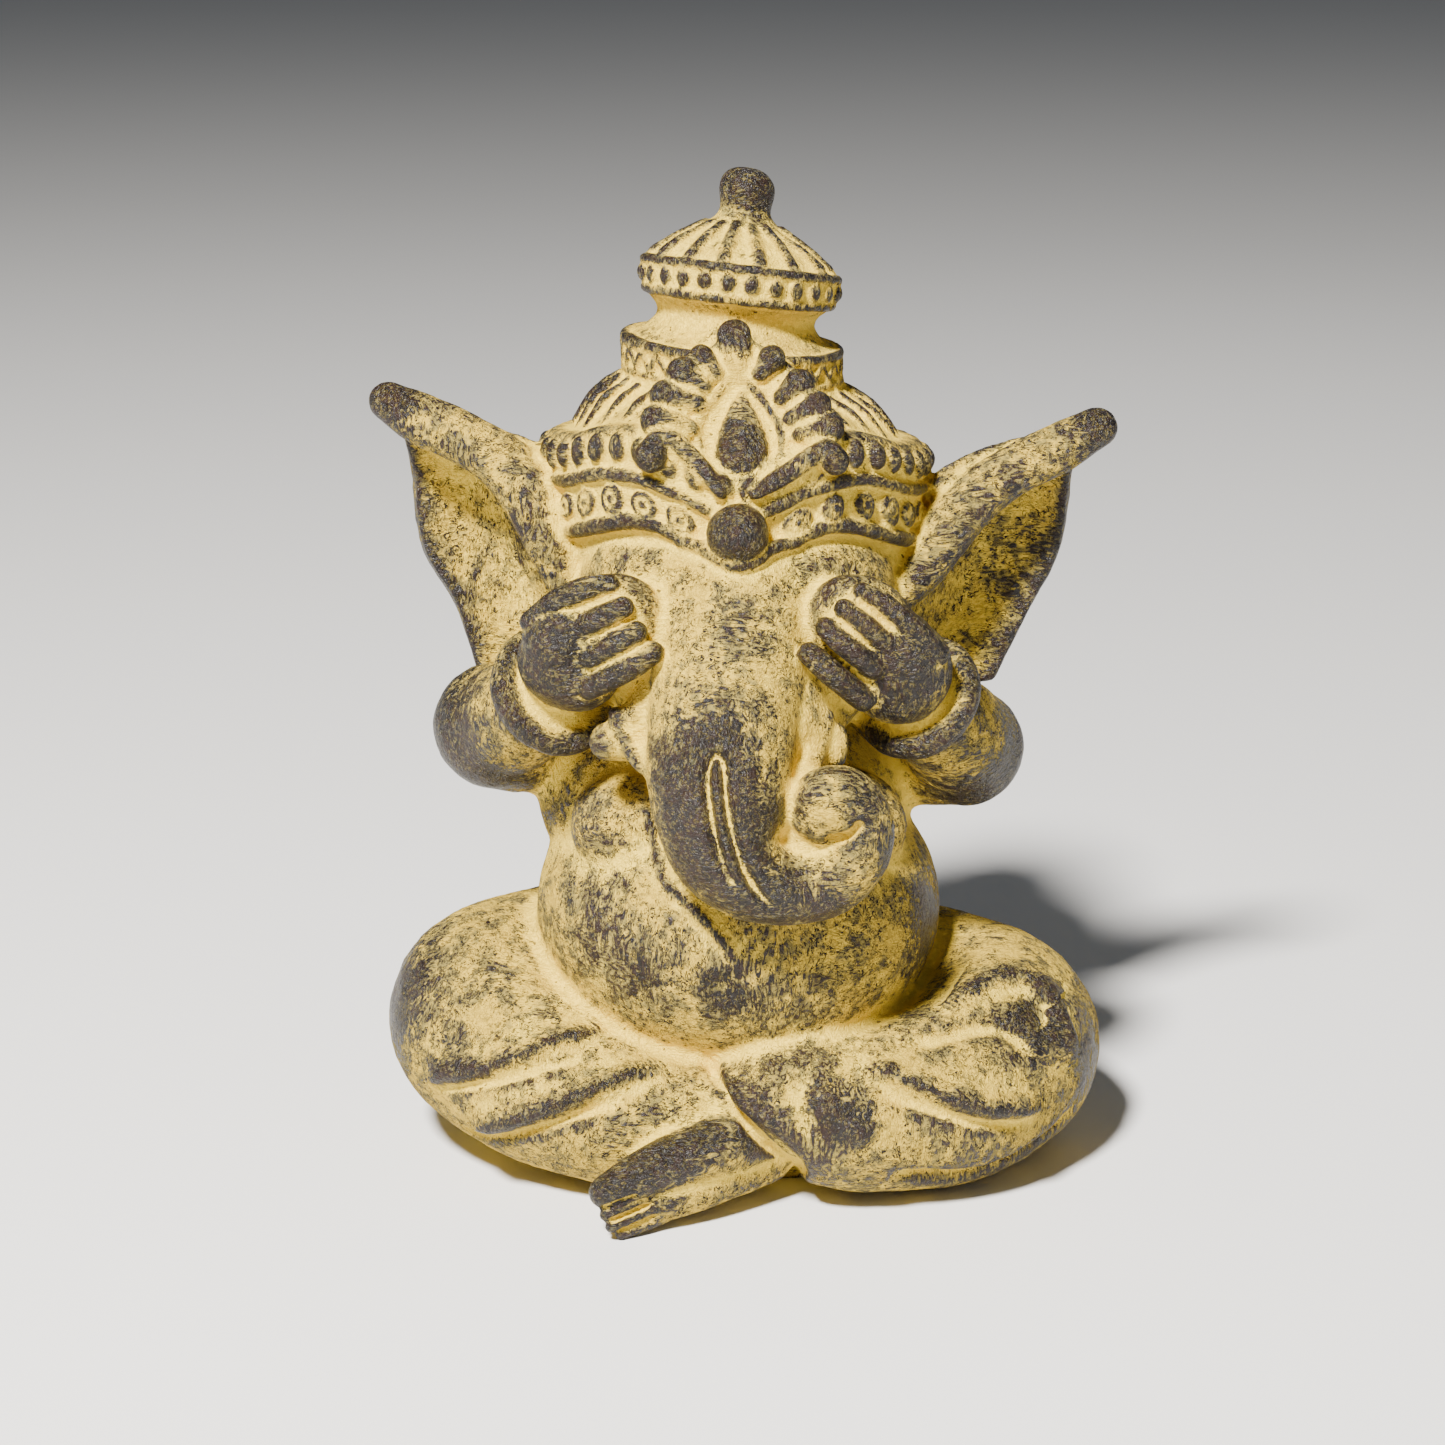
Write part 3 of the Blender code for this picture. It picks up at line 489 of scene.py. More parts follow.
def plaque_relief(clay):
    """The lobed border, the scrolls, the jewel in its frame, the tip and the boss over the brow."""
    for lobe in PLAQUE_LOBES:
        limb(clay, [(*on_plaque(x, s, LOBES_OUT), r) for x, s, r in lobe])
    for scroll in PLAQUE_SCROLLS:
        limb(clay, [(*on_plaque(x, s, SCROLLS_OUT), r) for x, s, r in scroll])
    limb(clay, [(*on_plaque(x, s, JEWEL_OUT), 1.3) for x, s in JEWEL_FRAME], closed=True,
         fineness=3)
    limb(clay, [(*on_plaque(x, s, JEWEL_OUT), r) for x, s, r in JEWEL_LINE], flat=0.62,
         facing=PLAQUE_OUT)
    limb(clay, [(*on_plaque(x, s, TIP_OUT), r) for x, s, r in PLAQUE_TIP], flat=0.75,
         facing=PLAQUE_OUT)
    limb(clay, BROW_POINT)
    lump(clay, on_plaque(-0.5, -1.0, BOSS_OUT), BOSS_RADIUS)


# The body

def torso(clay):
    """The belly, the chest, the back, the seat and the shoulders."""
    lump(clay, (0, -10, 64.5), (51.5, 50, 42))
    lump(clay, (-3.4, -4, 91), (47.6, 37, 32))
    lump(clay, (0, 14, 72), (42, 28, 44))
    lump(clay, (0, 16, 26), (60, 36, 30))
    lump(clay, (0, 0, 10), (70, 42, 24))
    lump(clay, (0, 4, 120), (34, 31, 24))
    for side in (-1, 1):
        lump(clay, (side * 25, -30, 91.5), (17, 14, 14.5))
        lump(clay, (side * 35, 6, 122), (14, 14, 18))


def legs(clay):
    """The right leg lies under, the left one over it."""
    limb(clay, ((-28, 18, 32, 30), (-56, 2, 33.5, 28), (-63.2, -14, 33, 26.5), (-48, -34, 26, 22.5),
                (-24, -45, 20, 18.5), (0, -46, 18, 16)), fineness=10)
    limb(clay, ((28, 18, 28, 30), (57, 3, 27.5, 28), (66.3, -15, 27.5, 27), (53, -37, 24, 24),
                (30, -47, 22.5, 20.5), (14, -48, 24.5, 18.5), (7, -50.5, 22, 18),
                (4.5, -52, 19.5, 17.5)), ends=(True, False), fineness=10)


def arms(clay):
    """Upper arms held out, forearms folded back up to the eyes."""
    limb(clay, ((-32, 4, 108, 17), (-50, -4, 109, 16.4), (-60.8, -12, 112, 16.2)), fineness=10)
    limb(clay, ((-60.8, -12, 112, 15), (-54, -25, 119, 13.5), (-47, -35, 126, 11.5)), fineness=10)
    limb(clay, ((32, 4, 104, 17), (50, -4, 105, 16), (57, -12, 106.5, 15.2)), fineness=10)
    limb(clay, ((57, -12, 106.5, 15), (52, -25, 115, 13.5), (44, -35, 123, 11.5)), fineness=10)


def head(clay):
    """The skull, the broad brow that runs into the trunk, and the cheeks."""
    lump(clay, (0, 0, 150), (42.5, 42, 36))
    lump(clay, (-0.5, -22, 150), (39, 29, 26))
    limb(clay, ((-1, -22, 163, 23), (-1.2, -34, 150, 22), (-2.6, -47, 134, 20),
                (-4.2, -57, 119, 18), (-3.6, -62, 106, 16)), fineness=10)
    for side in (-1, 1):
        lump(clay, (side * 17, -37, 133), (14.5, 14, 18))


TRUNK_LINE = (
    (-1.5, -34, 152, 19), (-2.6, -47, 136, 18.5), (-4.0, -57, 122, 18.2), (-4.6, -63, 110, 17.2),
    (-2.6, -66.5, 98, 14.4), (4, -67.5, 90.6, 11.2), (13.5, -67, 88, 9.2),
    (21.5, -66.5, 89.8, 8.8), (27.6, -66, 96, 8.4), (28.0, -66, 103.5, 8.4),
    (24.6, -66.4, 108.6, 8.6), (20.8, -67.2, 109, 8.6),
)
FLAP_RIGHT = ((-14, -46, 131, 11), (-22, -50, 126, 7), (-28.2, -52, 124.5, 3.2))
FLAP_RIGHT_EDGE = ((-29.6, -51.5, 126.2, 2.0), (-27.0, -54.5, 120.8, 2.3),
                   (-23.6, -57.5, 116.4, 2.5), (-20.4, -59.5, 114.4, 2.4))
FLAP_LEFT = ((10, -46, 128, 12), (14, -51, 121, 9), (16.5, -53, 117, 5.5))
FLAP_LEFT_EDGE = ((20.8, -52, 125.6, 2.2), (18.8, -55.5, 119.4, 2.5), (16.8, -58.5, 115.2, 2.7),
                  (13.2, -60.5, 113.6, 2.6))
TUSK_RIGHT = ((-20, -45, 119.5, 5.6), (-27, -49, 119.2, 5.4), (-31.2, -50.5, 118.9, 4.8))
TUSK_LEFT = ((24.0, -50.5, 121.4, 2.2), (23.8, -52.5, 118.4, 2.6), (23.5, -53.6, 115.8, 2.4))


def trunk_and_mouth(clay):
    """The trunk, curled up at its end, the two lips beside it and the short tusks below them."""
    limb(clay, TRUNK_LINE, fineness=10)
    lump(clay, (20, -66, 106), (8.6, 8.4, 7.6))
    lump(clay, (18, -61, 99), (9, 8.4, 9))
    lump(clay, (20, -58, 99), (12, 9, 11))
    lump(clay, (8, -58, 97), (12, 8, 10))
    limb(clay, ((-2, -42, 120, 14), (-1, -47, 107, 13.5), (3, -51, 97, 11)), fineness=10)
    for line in (FLAP_RIGHT, FLAP_RIGHT_EDGE, FLAP_LEFT, FLAP_LEFT_EDGE, TUSK_RIGHT, TUSK_LEFT):
        limb(clay, line)


EAR_SHEET_RIGHT = (
    ((-46, -6, 181), (-62, -3, 185), (-75, -1, 189), (-85, 0, 191)),
    ((-43, -6, 168), (-58, 5, 172), (-71, 9, 175), (-82.6, 6, 176)),
    ((-40, -10, 154), (-54, 7, 155), (-67, 11, 155), (-80.2, 8, 154)),
    ((-38, -12, 140), (-49, 6, 139), (-61, 10, 138), (-71.8, 8, 138)),
    ((-38, -8, 127), (-47, 3, 124), (-56, 7, 121), (-66.5, 7, 120)),
)
EAR_SHEET_LEFT = (
    ((48, -6, 174), (62, -3, 179), (75, -1, 182), (86, 0, 183)),
    ((45, -6, 163), (58, 5, 169), (70, 9, 172), (83.6, 6, 173)),
    ((42, -10, 151), (55, 7, 154), (67, 11, 154), (81.6, 8, 153)),
    ((39, -12, 139), (50, 6, 138), (61, 10, 137), (73.8, 8, 136)),
    ((38, -8, 125), (47, 3, 121), (56, 7, 118), (65.4, 7, 119)),
)
EAR_RIM_RIGHT = (
    (-86.6, -3, 192.6, 5.2), (-79, -5, 188.8, 6.8), (-68, -7, 184.3, 7.0), (-58, -9, 178.5, 7.4),
    (-50, -12, 169.5, 8.2), (-45, -15, 158.5, 7.2), (-42, -17, 149, 5.2),
)
EAR_RIM_LEFT = (
    (88.6, -3, 186.2, 5.4), (79, -5, 181.2, 6.6), (68, -7, 176.0, 6.6), (59, -9, 170, 6.8),
    (51, -12, 162, 7.2), (45, -15, 153.5, 6.5), (40, -17, 147, 5.0),
)
EAR_THICKNESS = 6.0


def ears(clay):
    """Cupped ears held out wide, each with its upper edge rolled forward into a thick rim."""
    for rows, rim in ((EAR_SHEET_RIGHT, EAR_RIM_RIGHT), (EAR_SHEET_LEFT, EAR_RIM_LEFT)):
        leaf(clay, rows, EAR_THICKNESS)
        limb(clay, rim, flat=0.85, facing=(0, -0.6, 0.8))


CUFF_RADIUS, CUFF_THICKNESS, CUFF_FILLING, FILLING_OUT = 13.2, 3.4, 3.0, 0.2


def cuff(clay, centre, axis):
    """A thick bangle round the wrist, filled in behind."""
    centre, axis = Vector(centre), Vector(axis).normalized()
    lift = axis.to_track_quat("Z", "Y").to_euler()
    bpy.ops.mesh.primitive_torus_add(
        location=centre, rotation=lift, major_radius=CUFF_RADIUS, minor_radius=CUFF_THICKNESS,
        major_segments=64, minor_segments=16)
    clay.append(bpy.context.object)
    turn = [math.degrees(a) for a in lift]
    lump(clay, centre + axis * FILLING_OUT, (CUFF_RADIUS, CUFF_RADIUS, CUFF_FILLING), turn)


def hands(clay):
    """The backs of the hands, turned to the front, and the bangles behind them."""
    lump(clay, (-40, -46.5, 138), (13.2, 9.5, 12.5), (0, 20, 0))
    lump(clay, (-32, -48.5, 146.5), (15, 8.8, 12.5), (0, -35, 0))
    lump(clay, (-42.5, -49, 145), (9, 8.6, 10.5), (0, 25, 0))
    cuff(clay, (-45.0, -37, 128), (22, -35, 26))
    lump(clay, (38, -46.5, 135.5), (13.2, 9.5, 13.2), (0, -25, 0))
    lump(clay, (29.5, -48.5, 146), (15, 8.8, 12.5), (0, 40, 0))
    lump(clay, (38.5, -49, 141.5), (9, 8.6, 11), (0, -30, 0))
    cuff(clay, (43, -37, 126.5), (-19.5, -35, 30))


FINGERS = (
    ((-49.5, -50, 148.6, 2.8), (-43.4, -53, 154.2, 2.9), (-36.6, -54, 157.4, 2.8),
     (-30.8, -53.5, 158.6, 2.4)),
    ((-38.4, -54.4, 147.6, 2.7), (-32.4, -57, 151.4, 2.9), (-27.4, -56.6, 153.7, 2.5)),
    ((-35.2, -55.4, 141.4, 2.8), (-29.2, -58, 145.4, 3.1), (-24.2, -57.8, 147.9, 2.7)),
    ((-35.6, -54.6, 133.4, 3.0), (-27, -58.2, 139.0, 3.3), (-20.8, -57.8, 142.8, 2.9)),
    ((47.4, -51, 141.0, 2.9), (39.6, -55, 149.4, 3.0), (33.8, -55.6, 154.4, 2.8),
     (28.8, -54.5, 157.0, 2.4)),
    ((35.4, -55, 144.4, 2.7), (29.4, -57.6, 149.8, 2.9), (24.6, -56.8, 153.4, 2.5)),
    ((31.6, -55.4, 138.8, 2.8), (25.2, -58.6, 145.0, 3.0), (20.4, -57.8, 149.0, 2.6)),
    ((29.4, -54.4, 130.6, 3.0), (22, -58.4, 137.8, 3.1), (16.6, -57.4, 142.6, 2.7)),
)
TOES = (
    ((-20, -69.5, 10.2, 2.2), (-27, -73.4, 8.7, 1.9), (-32.4, -75.4, 7.1, 1.7)),
    ((-19, -69, 7.0, 2.2), (-25.6, -73.2, 5.6, 1.9), (-30.8, -75.4, 4.1, 1.7)),
    ((-18, -67.5, 3.8, 2.2), (-23.8, -71.6, 2.6, 1.9), (-28.6, -74, 1.6, 1.6)),
)


def fingers_and_toes(clay):
    """Four fingers on each hand and three toes on the foot."""
    for line in FINGERS + TOES:
        limb(clay, line)


def foot(clay):
    """The left foot, which comes out from under the hem and lies on its edge."""
    limb(clay, ((8, -48, 19, 10), (0, -57, 19.5, 8.6), (-11, -63.8, 17.8, 7.6),
                (-21, -68.4, 15.4, 6.4), (-28, -71.8, 13.6, 5.2), (-32.8, -74.2, 12.3, 4.0)))
    limb(clay, ((6, -50, 12, 8), (-4, -57, 11, 8), (-14, -63, 9, 7.4), (-22, -67, 7.4, 6.4)))


# What is pressed into or raised on the skin, as lines of (across, up) seen from the front

SOFTNESS, STROKE_REACH, END_STEEPNESS = 1.6, 2.2, 2.2
FAR_IN_FRONT = -200
POINTS_AT_ONCE = 20000


class Skin:
    """The fused skin's points, which strokes press in or raise."""

    def __init__(self, piece):
        self.piece = piece
        self.tree = BVHTree.FromObject(piece, bpy.context.evaluated_depsgraph_get())
        self.points = points_of(piece)
        normals = np.empty(len(self.points) * 3, np.float32)
        piece.data.vertex_normals.foreach_get("vector", normals)
        self.normals = normals.reshape(-1, 3).astype(float)

    def from_front(self, line):
        """Where a line of (across, up), looked at from the front, meets the skin."""
        met = []
        for across, up in line:
            eye = Vector((across, FAR_IN_FRONT, up))
            place = self.tree.ray_cast(eye, Vector((0, 1, 0)))[0]
            if place is not None:
                met.append(place)
        return np.array(met)

    def stroke(self, line, width, height, under=None):
        """A soft ridge along a line, or a crease where height is negative. Its ends run out.

        under is the width on the lower side of the line, where a fold breaks off more sharply.
        """
        path = self.from_front(smooth_line(line, steps=10))
        reach = STROKE_REACH * width
        inside = (self.points > path.min(0) - reach) & (self.points < path.max(0) + reach)
        near = np.flatnonzero(inside.all(1))
        nearest = np.empty(len(near), int)
        gap = np.empty(len(near))
        for start in range(0, len(near), POINTS_AT_ONCE):
            part = slice(start, start + POINTS_AT_ONCE)
            gaps = np.linalg.norm(self.points[near[part], None] - path[None], axis=2)
            nearest[part] = gaps.argmin(1)
            gap[part] = gaps.min(1)
        if under:
            ahead = np.gradient(path, axis=0)
            over = np.cross(self.normals[near], ahead[nearest])
            over *= np.sign(over[:, 2:])
            above = np.einsum("ij,ij->i", self.points[near] - path[nearest], over) > 0
            width = np.where(above, width, under)
        share = np.exp(-((gap / width) ** 2) * SOFTNESS) * (gap < reach)
        share *= np.clip(np.sin(np.pi * nearest / (len(path) - 1)) * END_STEEPNESS, 0, 1)
        self.points[near] += self.normals[near] * (share * height)[:, None]

    def swell(self, across, up, width, height):
        """A round swelling, or a dent where height is negative."""
        centre = self.from_front([(across, up)])[0]
        gap = np.linalg.norm(self.points - centre, axis=1)
        share = np.exp(-((gap / width) ** 2) * SOFTNESS)
        self.points += self.normals * (share * height)[:, None]

    def done(self):
        move_points(self.piece, self.points)


# Each fold's line, its width above and below the line, and its height
FOLDS = (
    (((-79, 27), (-72, 30.5), (-63.5, 34), (-53.5, 38.5), (-44, 41.5), (-33, 43)), 5.0, 2.4, 2.6),
    (((-67, 17), (-58.5, 21.5), (-48.5, 26.5), (-38.5, 31), (-29, 34), (-17.5, 36)), 5.2, 2.4, 3.2),
    (((51, 47), (61.5, 50), (70.5, 50.5), (78, 46), (82, 39), (84, 31)), 8.0, 3.6, 2.6),
    (((30, 38.5), (38, 36.5), (46.5, 33.5), (56.5, 29), (66.5, 26), (76, 24)), 5.4, 2.4, 3.0),
    (((15, 33), (21, 31), (27, 27), (33, 21.5)), 7.0, 4.4, 1.6),
)
# Each crease's line, width and depth: beside the folds, between the toes and along the hem
CREASES = (
    (((-76, 24.5), (-66, 29.5), (-56, 33.5), (-46, 37), (-37, 39)), 1.8, -1.3),
    (((-70, 15), (-65, 13.5), (-58, 17.5), (-48, 22.5), (-38, 27), (-28, 30.5)), 1.9, -2.0),
    (((40, 43), (50, 43.5), (60, 44.5), (68, 42), (73, 36)), 3.4, -1.9),
    (((34, 34), (46.5, 29.5), (58, 24.5), (70, 21)), 1.9, -1.4),
    (((37, 12), (47, 9.5), (57, 8), (68, 9.5), (78, 13), (85, 18)), 3.0, -4.2),
    (((-24, 12.2), (-29, 10.7), (-34, 9.0)), 0.8, -1.4),
    (((-20, 8.9), (-26, 7.2), (-31.5, 5.5)), 0.8, -1.5),
    (((-19, 5.5), (-24.5, 4.1), (-30, 2.7)), 0.8, -1.5),
    (((-9.5, 37.5), (-5.5, 34), (-1.5, 29.5), (3, 24.5), (7, 19.5), (11, 14.5)), 1.5, -2.4),
)
HEM = ((-6, 38), (-2, 34), (2, 29.5), (6.5, 24), (10.5, 19), (14.5, 14))
CURL_COMMA = ((29, 106.5), (27.4, 104), (25, 102), (22.3, 101.4), (20, 102.4))
TRUNK_GROOVE = (
    (0.4, 88.8), (-2.3, 93.4), (-4.5, 99.0), (-6.2, 105.4), (-7.3, 112.0), (-7.8, 117.6),
    (-7.2, 121.2), (-5.5, 123), (-3.8, 121.2), (-3.3, 116), (-2.6, 110.4), (-1.2, 103.8),
    (1.0, 97), (3.6, 91.4), (6.6, 87.0), (9.4, 84.6),
)
THREAD = (
    (-22.6, 98.3), (-21.6, 95), (-20.7, 91.5), (-20, 88.5), (-19, 85.5), (-17.5, 83), (-15, 81),
    (-12, 79), (-9, 76.5), (-6, 73.5), (-3.5, 70.5), (-1.5, 67),
)


def drawn_lines(skin):
    """The dhoti's folds, the line drawn down the trunk, the thread and the navel."""
    for line, width, under, height in FOLDS:
        skin.stroke(line, width, height, under=under)
    for line, width, depth in CREASES:
        skin.stroke(line, width, depth)
    skin.stroke(HEM, 2.0, 0.8)
    skin.stroke(TRUNK_GROOVE, 1.6, -2.6)
    skin.stroke(CURL_COMMA, 1.5, -3.4)
    skin.stroke(THREAD, 2.0, 0.6)
    for across, up in smooth_line(THREAD, steps=2):
        skin.swell(across, up, 1.5, 0.6)
    skin.swell(-3.4, 59, 4.5, -1.6)


# Wear: how proud each place stands, where hands and weather have rubbed it, and two spots of
# painted shade on shaded sides

# Each place, how far its darkening reaches, and how strong it is. Most are rubbing; the spots on
# the trunk's shaded side and on the belly's far side are painted shade
RUBBED_AND_SHADED = (
    # the hands' backs, then the elbows
    ((-42, -57, 142), 14, 1.2), ((-46, -52, 149), 9, 0.9), ((-50, -46, 139), 8, 0.9),
    ((38, -57, 139), 13, 1.2), ((42, -52, 146), 9, 0.8), ((46, -46, 136), 8, 0.8),
    ((-68, -16, 110), 18, 1.2), ((-60, -24, 101), 14, 0.9), ((64, -18, 103), 16, 1.05),
    # the outer rims of the bangles
    ((-57.4, -44.3, 122.8), 6, 0.9), ((-50.6, -45, 116.2), 6, 0.9), ((-42, -41.5, 113.7), 6, 0.9),
    ((58, -39.4, 128.5), 6, 0.9), ((52.3, -45.4, 117.7), 6, 0.9), ((39.8, -42.8, 112.7), 6, 0.9),
    # down the trunk and round its curl; the spot at (9, -76, 106) on the trunk's shaded side is
    # partly rubbing and partly painted shade
    ((-5, -76, 128), 12, 0.8), ((-9, -80, 116), 15, 1.2), ((-4, -80, 103), 15, 1.25),
    ((9, -76, 106), 8, 0.8), ((7, -77, 90), 12, 1.0), ((19, -75, 84), 8, 0.6),
    ((29, -73, 111), 6, 0.5), ((35, -70, 99), 6, 0.55), ((6, -74, 131), 8, 0.45),
    # the crown's knob, boss and jewel, the plaque's tip and scrolls, and the ears' tips
    ((4, -3, 243), 9, 0.85), ((0, -58, 171), 9, 1.1), ((0.6, -46, 188.6), 8.5, 0.95),
    ((-1.4, -32, 215), 4.5, 0.9), ((-21, -47, 188), 5.5, 0.9), ((23, -47, 187), 4.5, 0.7),
    ((-87, -5, 194), 8, 0.8), ((90, -5, 188), 8, 0.75),
    # the knees and thighs
    ((-87, -22, 42), 16, 0.85), ((-73, -46, 37), 9, 0.6), ((-66, -36, 56), 9, 0.35),
    ((90, -30, 30), 13, 0.6), ((76, -42, 45), 13, 0.9), ((25, -66, 28), 9, 0.85),
    ((4, -66, 27), 7, 0.8), ((-3, -62, 33), 4, 0.5),
    # the foot
    ((-20, -72, 21), 10, 1.0), ((-33, -76, 14), 7, 1.1), ((-9, -68, 27), 8, 0.9),
    ((-1, -63, 30), 5, 0.6),
    # the navel, the belly's brushed side, and painted shade on its far side, which lies in shadow
    ((-4, -60, 58), 8, 1.05), ((-24, -56, 62), 12, 0.55), ((-38, -46, 72), 15, 0.4),
    ((47, -26, 66), 12, 0.9), ((12, -58, 50), 15, 0.3),
    # the brow, the chest and the hollows of the ears, where the wash is only thinned
    ((-26, -46, 164), 11, 0.3), ((0, -58, 148), 9, 0.3), ((28, -46, 163), 11, 0.25),
    ((-36, -38, 100), 7, 0.25), ((-68, 4, 150), 26, 0.4), ((66, 4, 150), 26, 0.4),
)
# Where more of the wash has stayed: both tusks, the curl's middle and the plaque's plate
SHELTERED = (
    ((-29, -50, 119), 7, 0.7), ((19, -73, 107), 8, 0.35), ((-12, -44, 192), 6, 0.3),
    ((12, -44, 192), 6, 0.2), ((0, -36, 206), 6, 0.4), ((22, -54, 118), 7, 0.4),
)
# The widths over which a point's standing proud is measured
PROUD_WIDTHS = (("edge", 1.2), ("ridge", 3.0), ("form", 8.0))
SMOOTHING, ROUNDS_FOR_WIDTH = 0.7, 2.2
LOBES_RUBBED_RADIUS, LOBES_RUBBED, RUB_FALL = 4.5, 0.55, 1.2


def nearness(points, place, radius):
    """1 at a place, falling away to nothing round it."""
    gap = np.linalg.norm(points - np.array(place), axis=1) / radius
    return np.exp(-(gap**2) * RUB_FALL)


def note_wear(piece, grain):
    """Stores on each point how proud it stands at three sizes, and how far rubbing and painted
    shade darken it.
    """
    points = points_of(piece)
    normals = np.empty(len(points) * 3, np.float32)
    piece.data.vertex_normals.foreach_get("vector", normals)
    normals = normals.reshape(-1, 3)
    evened = piece.copy()
    evened.data = piece.data.copy()
    bpy.context.scene.collection.objects.link(evened)
    rounds_before = 0
    proud_at = {}
    for name, width in PROUD_WIDTHS:
        rounds = round(ROUNDS_FOR_WIDTH * (width / grain) ** 2)
        finish_with(evened, "SMOOTH", factor=SMOOTHING, iterations=rounds - rounds_before)
        rounds_before = rounds
        proud_at[name] = np.einsum("ij,ij->i", points - points_of(evened), normals) / width
    bpy.data.objects.remove(evened)
    for name, proud in proud_at.items():
        layer = piece.data.attributes.new(name, "FLOAT", "POINT")
        layer.data.foreach_set("value", np.clip(proud, -1, 1).astype(np.float32))
    rubbed_and_shaded = np.zeros(len(points))
    lobes = tuple((on_plaque(*lobe[-1][:2], 5), LOBES_RUBBED_RADIUS, LOBES_RUBBED)
                  for lobe in PLAQUE_LOBES)
    for place, radius, strength in RUBBED_AND_SHADED + lobes:
        rubbed_and_shaded = np.maximum(rubbed_and_shaded, strength * nearness(points, place, radius))
    for place, radius, strength in SHELTERED:
        rubbed_and_shaded -= strength * nearness(points, place, radius)
    layer = piece.data.attributes.new("rubbed_and_shaded", "FLOAT", "POINT")
    layer.data.foreach_set("value", rubbed_and_shaded.astype(np.float32))


def cut_at_ground(piece):
    """Cuts the skin off at the ground and closes it with a flat underside."""
    select_only(piece)
    bpy.ops.object.mode_set(mode="EDIT")
    bpy.ops.mesh.select_all(action="SELECT")
    bpy.ops.mesh.bisect(plane_co=(0, 0, 0), plane_no=(0, 0, 1), use_fill=True, clear_inner=True)
    bpy.ops.mesh.select_all(action="SELECT")
    bpy.ops.mesh.quads_convert_to_tris()
    bpy.ops.object.mode_set(mode="OBJECT")


def waver(piece, amount):
    """Lets the surface waver as modelled clay does."""
    for name, size, share in (("Swells", 16.0, 1.0), ("Thumbed", 6.0, 0.45), ("Rough", 2.4, 0.16)):
        clouds = bpy.data.textures.new(name, "CLOUDS")
        clouds.noise_scale = size
        clouds.noise_depth = 2
        finish_with(piece, "DISPLACE", texture=clouds, texture_coords="LOCAL", mid_level=0.5,
                    strength=amount * share)
        bpy.data.textures.remove(clouds)


# How finely the first two layers are fused, and how wide each layer's creases are rounded
BODY_GRAIN, BODY_ROUNDING = 1.2, 2.2
LIMBS_GRAIN, LIMBS_ROUNDING = 0.9, 1.0
DETAIL_ROUNDING = 0.35


class STATUE_OT_casting(bpy.types.Operator):
    """Model the seated figure as one casting"""
    bl_idname = "statue.casting"
    bl_label = "Model the casting"
    bl_options = {"REGISTER", "UNDO"}

    def execute(self, context):
        sizes = context.scene.casting_sizes
        clay = []
        for form in (torso, legs, arms, head):
            form(clay)
        clay = fuse(clay, BODY_GRAIN, BODY_ROUNDING)
        for form in (ears, trunk_and_mouth, hands, foot, crown_core, plaque_core):
            form(clay)
        clay = fuse(clay, LIMBS_GRAIN, LIMBS_ROUNDING)
        for form in (fingers_and_toes, crown_relief, plaque_relief):
            form(clay)
        statue = fuse(clay, sizes.grain, DETAIL_ROUNDING)[0]
        skin = Skin(statue)
        drawn_lines(skin)
        skin.done()
        waver(statue, sizes.unevenness)
        note_wear(statue, sizes.grain)
        cut_at_ground(statue)
        triangles = len(statue.data.polygons)
        finish_with(statue, "DECIMATE", ratio=min(1.0, sizes.faces / triangles))
        statue.data.transform(Matrix.Scale(sizes.height / UNITS_IN_HEIGHT, 4))
        statue.name = "statue_casting"
        statue.data.name = "statue_casting"
        for face in statue.data.polygons:
            face.use_smooth = True
        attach(statue, "root")
        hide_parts("baby_ganesha_statue")
        return {"FINISHED"}


# Materials

class Amount:
    """A value in a material; sums with it add the Math nodes they stand for."""

    def __init__(self, finish, socket):
        self.finish, self.socket = finish, socket

    def _math(self, operation, one, two):
        return self.finish.node("ShaderNodeMath", {"operation": operation}, {0: one, 1: two})

    def __add__(self, other):
        return self._math("ADD", self, other)

    def __radd__(self, other):
        return self._math("ADD", other, self)

    def __sub__(self, other):
        return self._math("SUBTRACT", self, other)

    def __rsub__(self, other):
        return self._math("SUBTRACT", other, self)

    def __mul__(self, other):
        return self._math("MULTIPLY", self, other)

    def __rmul__(self, other):
        return self._math("MULTIPLY", other, self)

    def __abs__(self):
        return self._math("ABSOLUTE", self, 0.0)


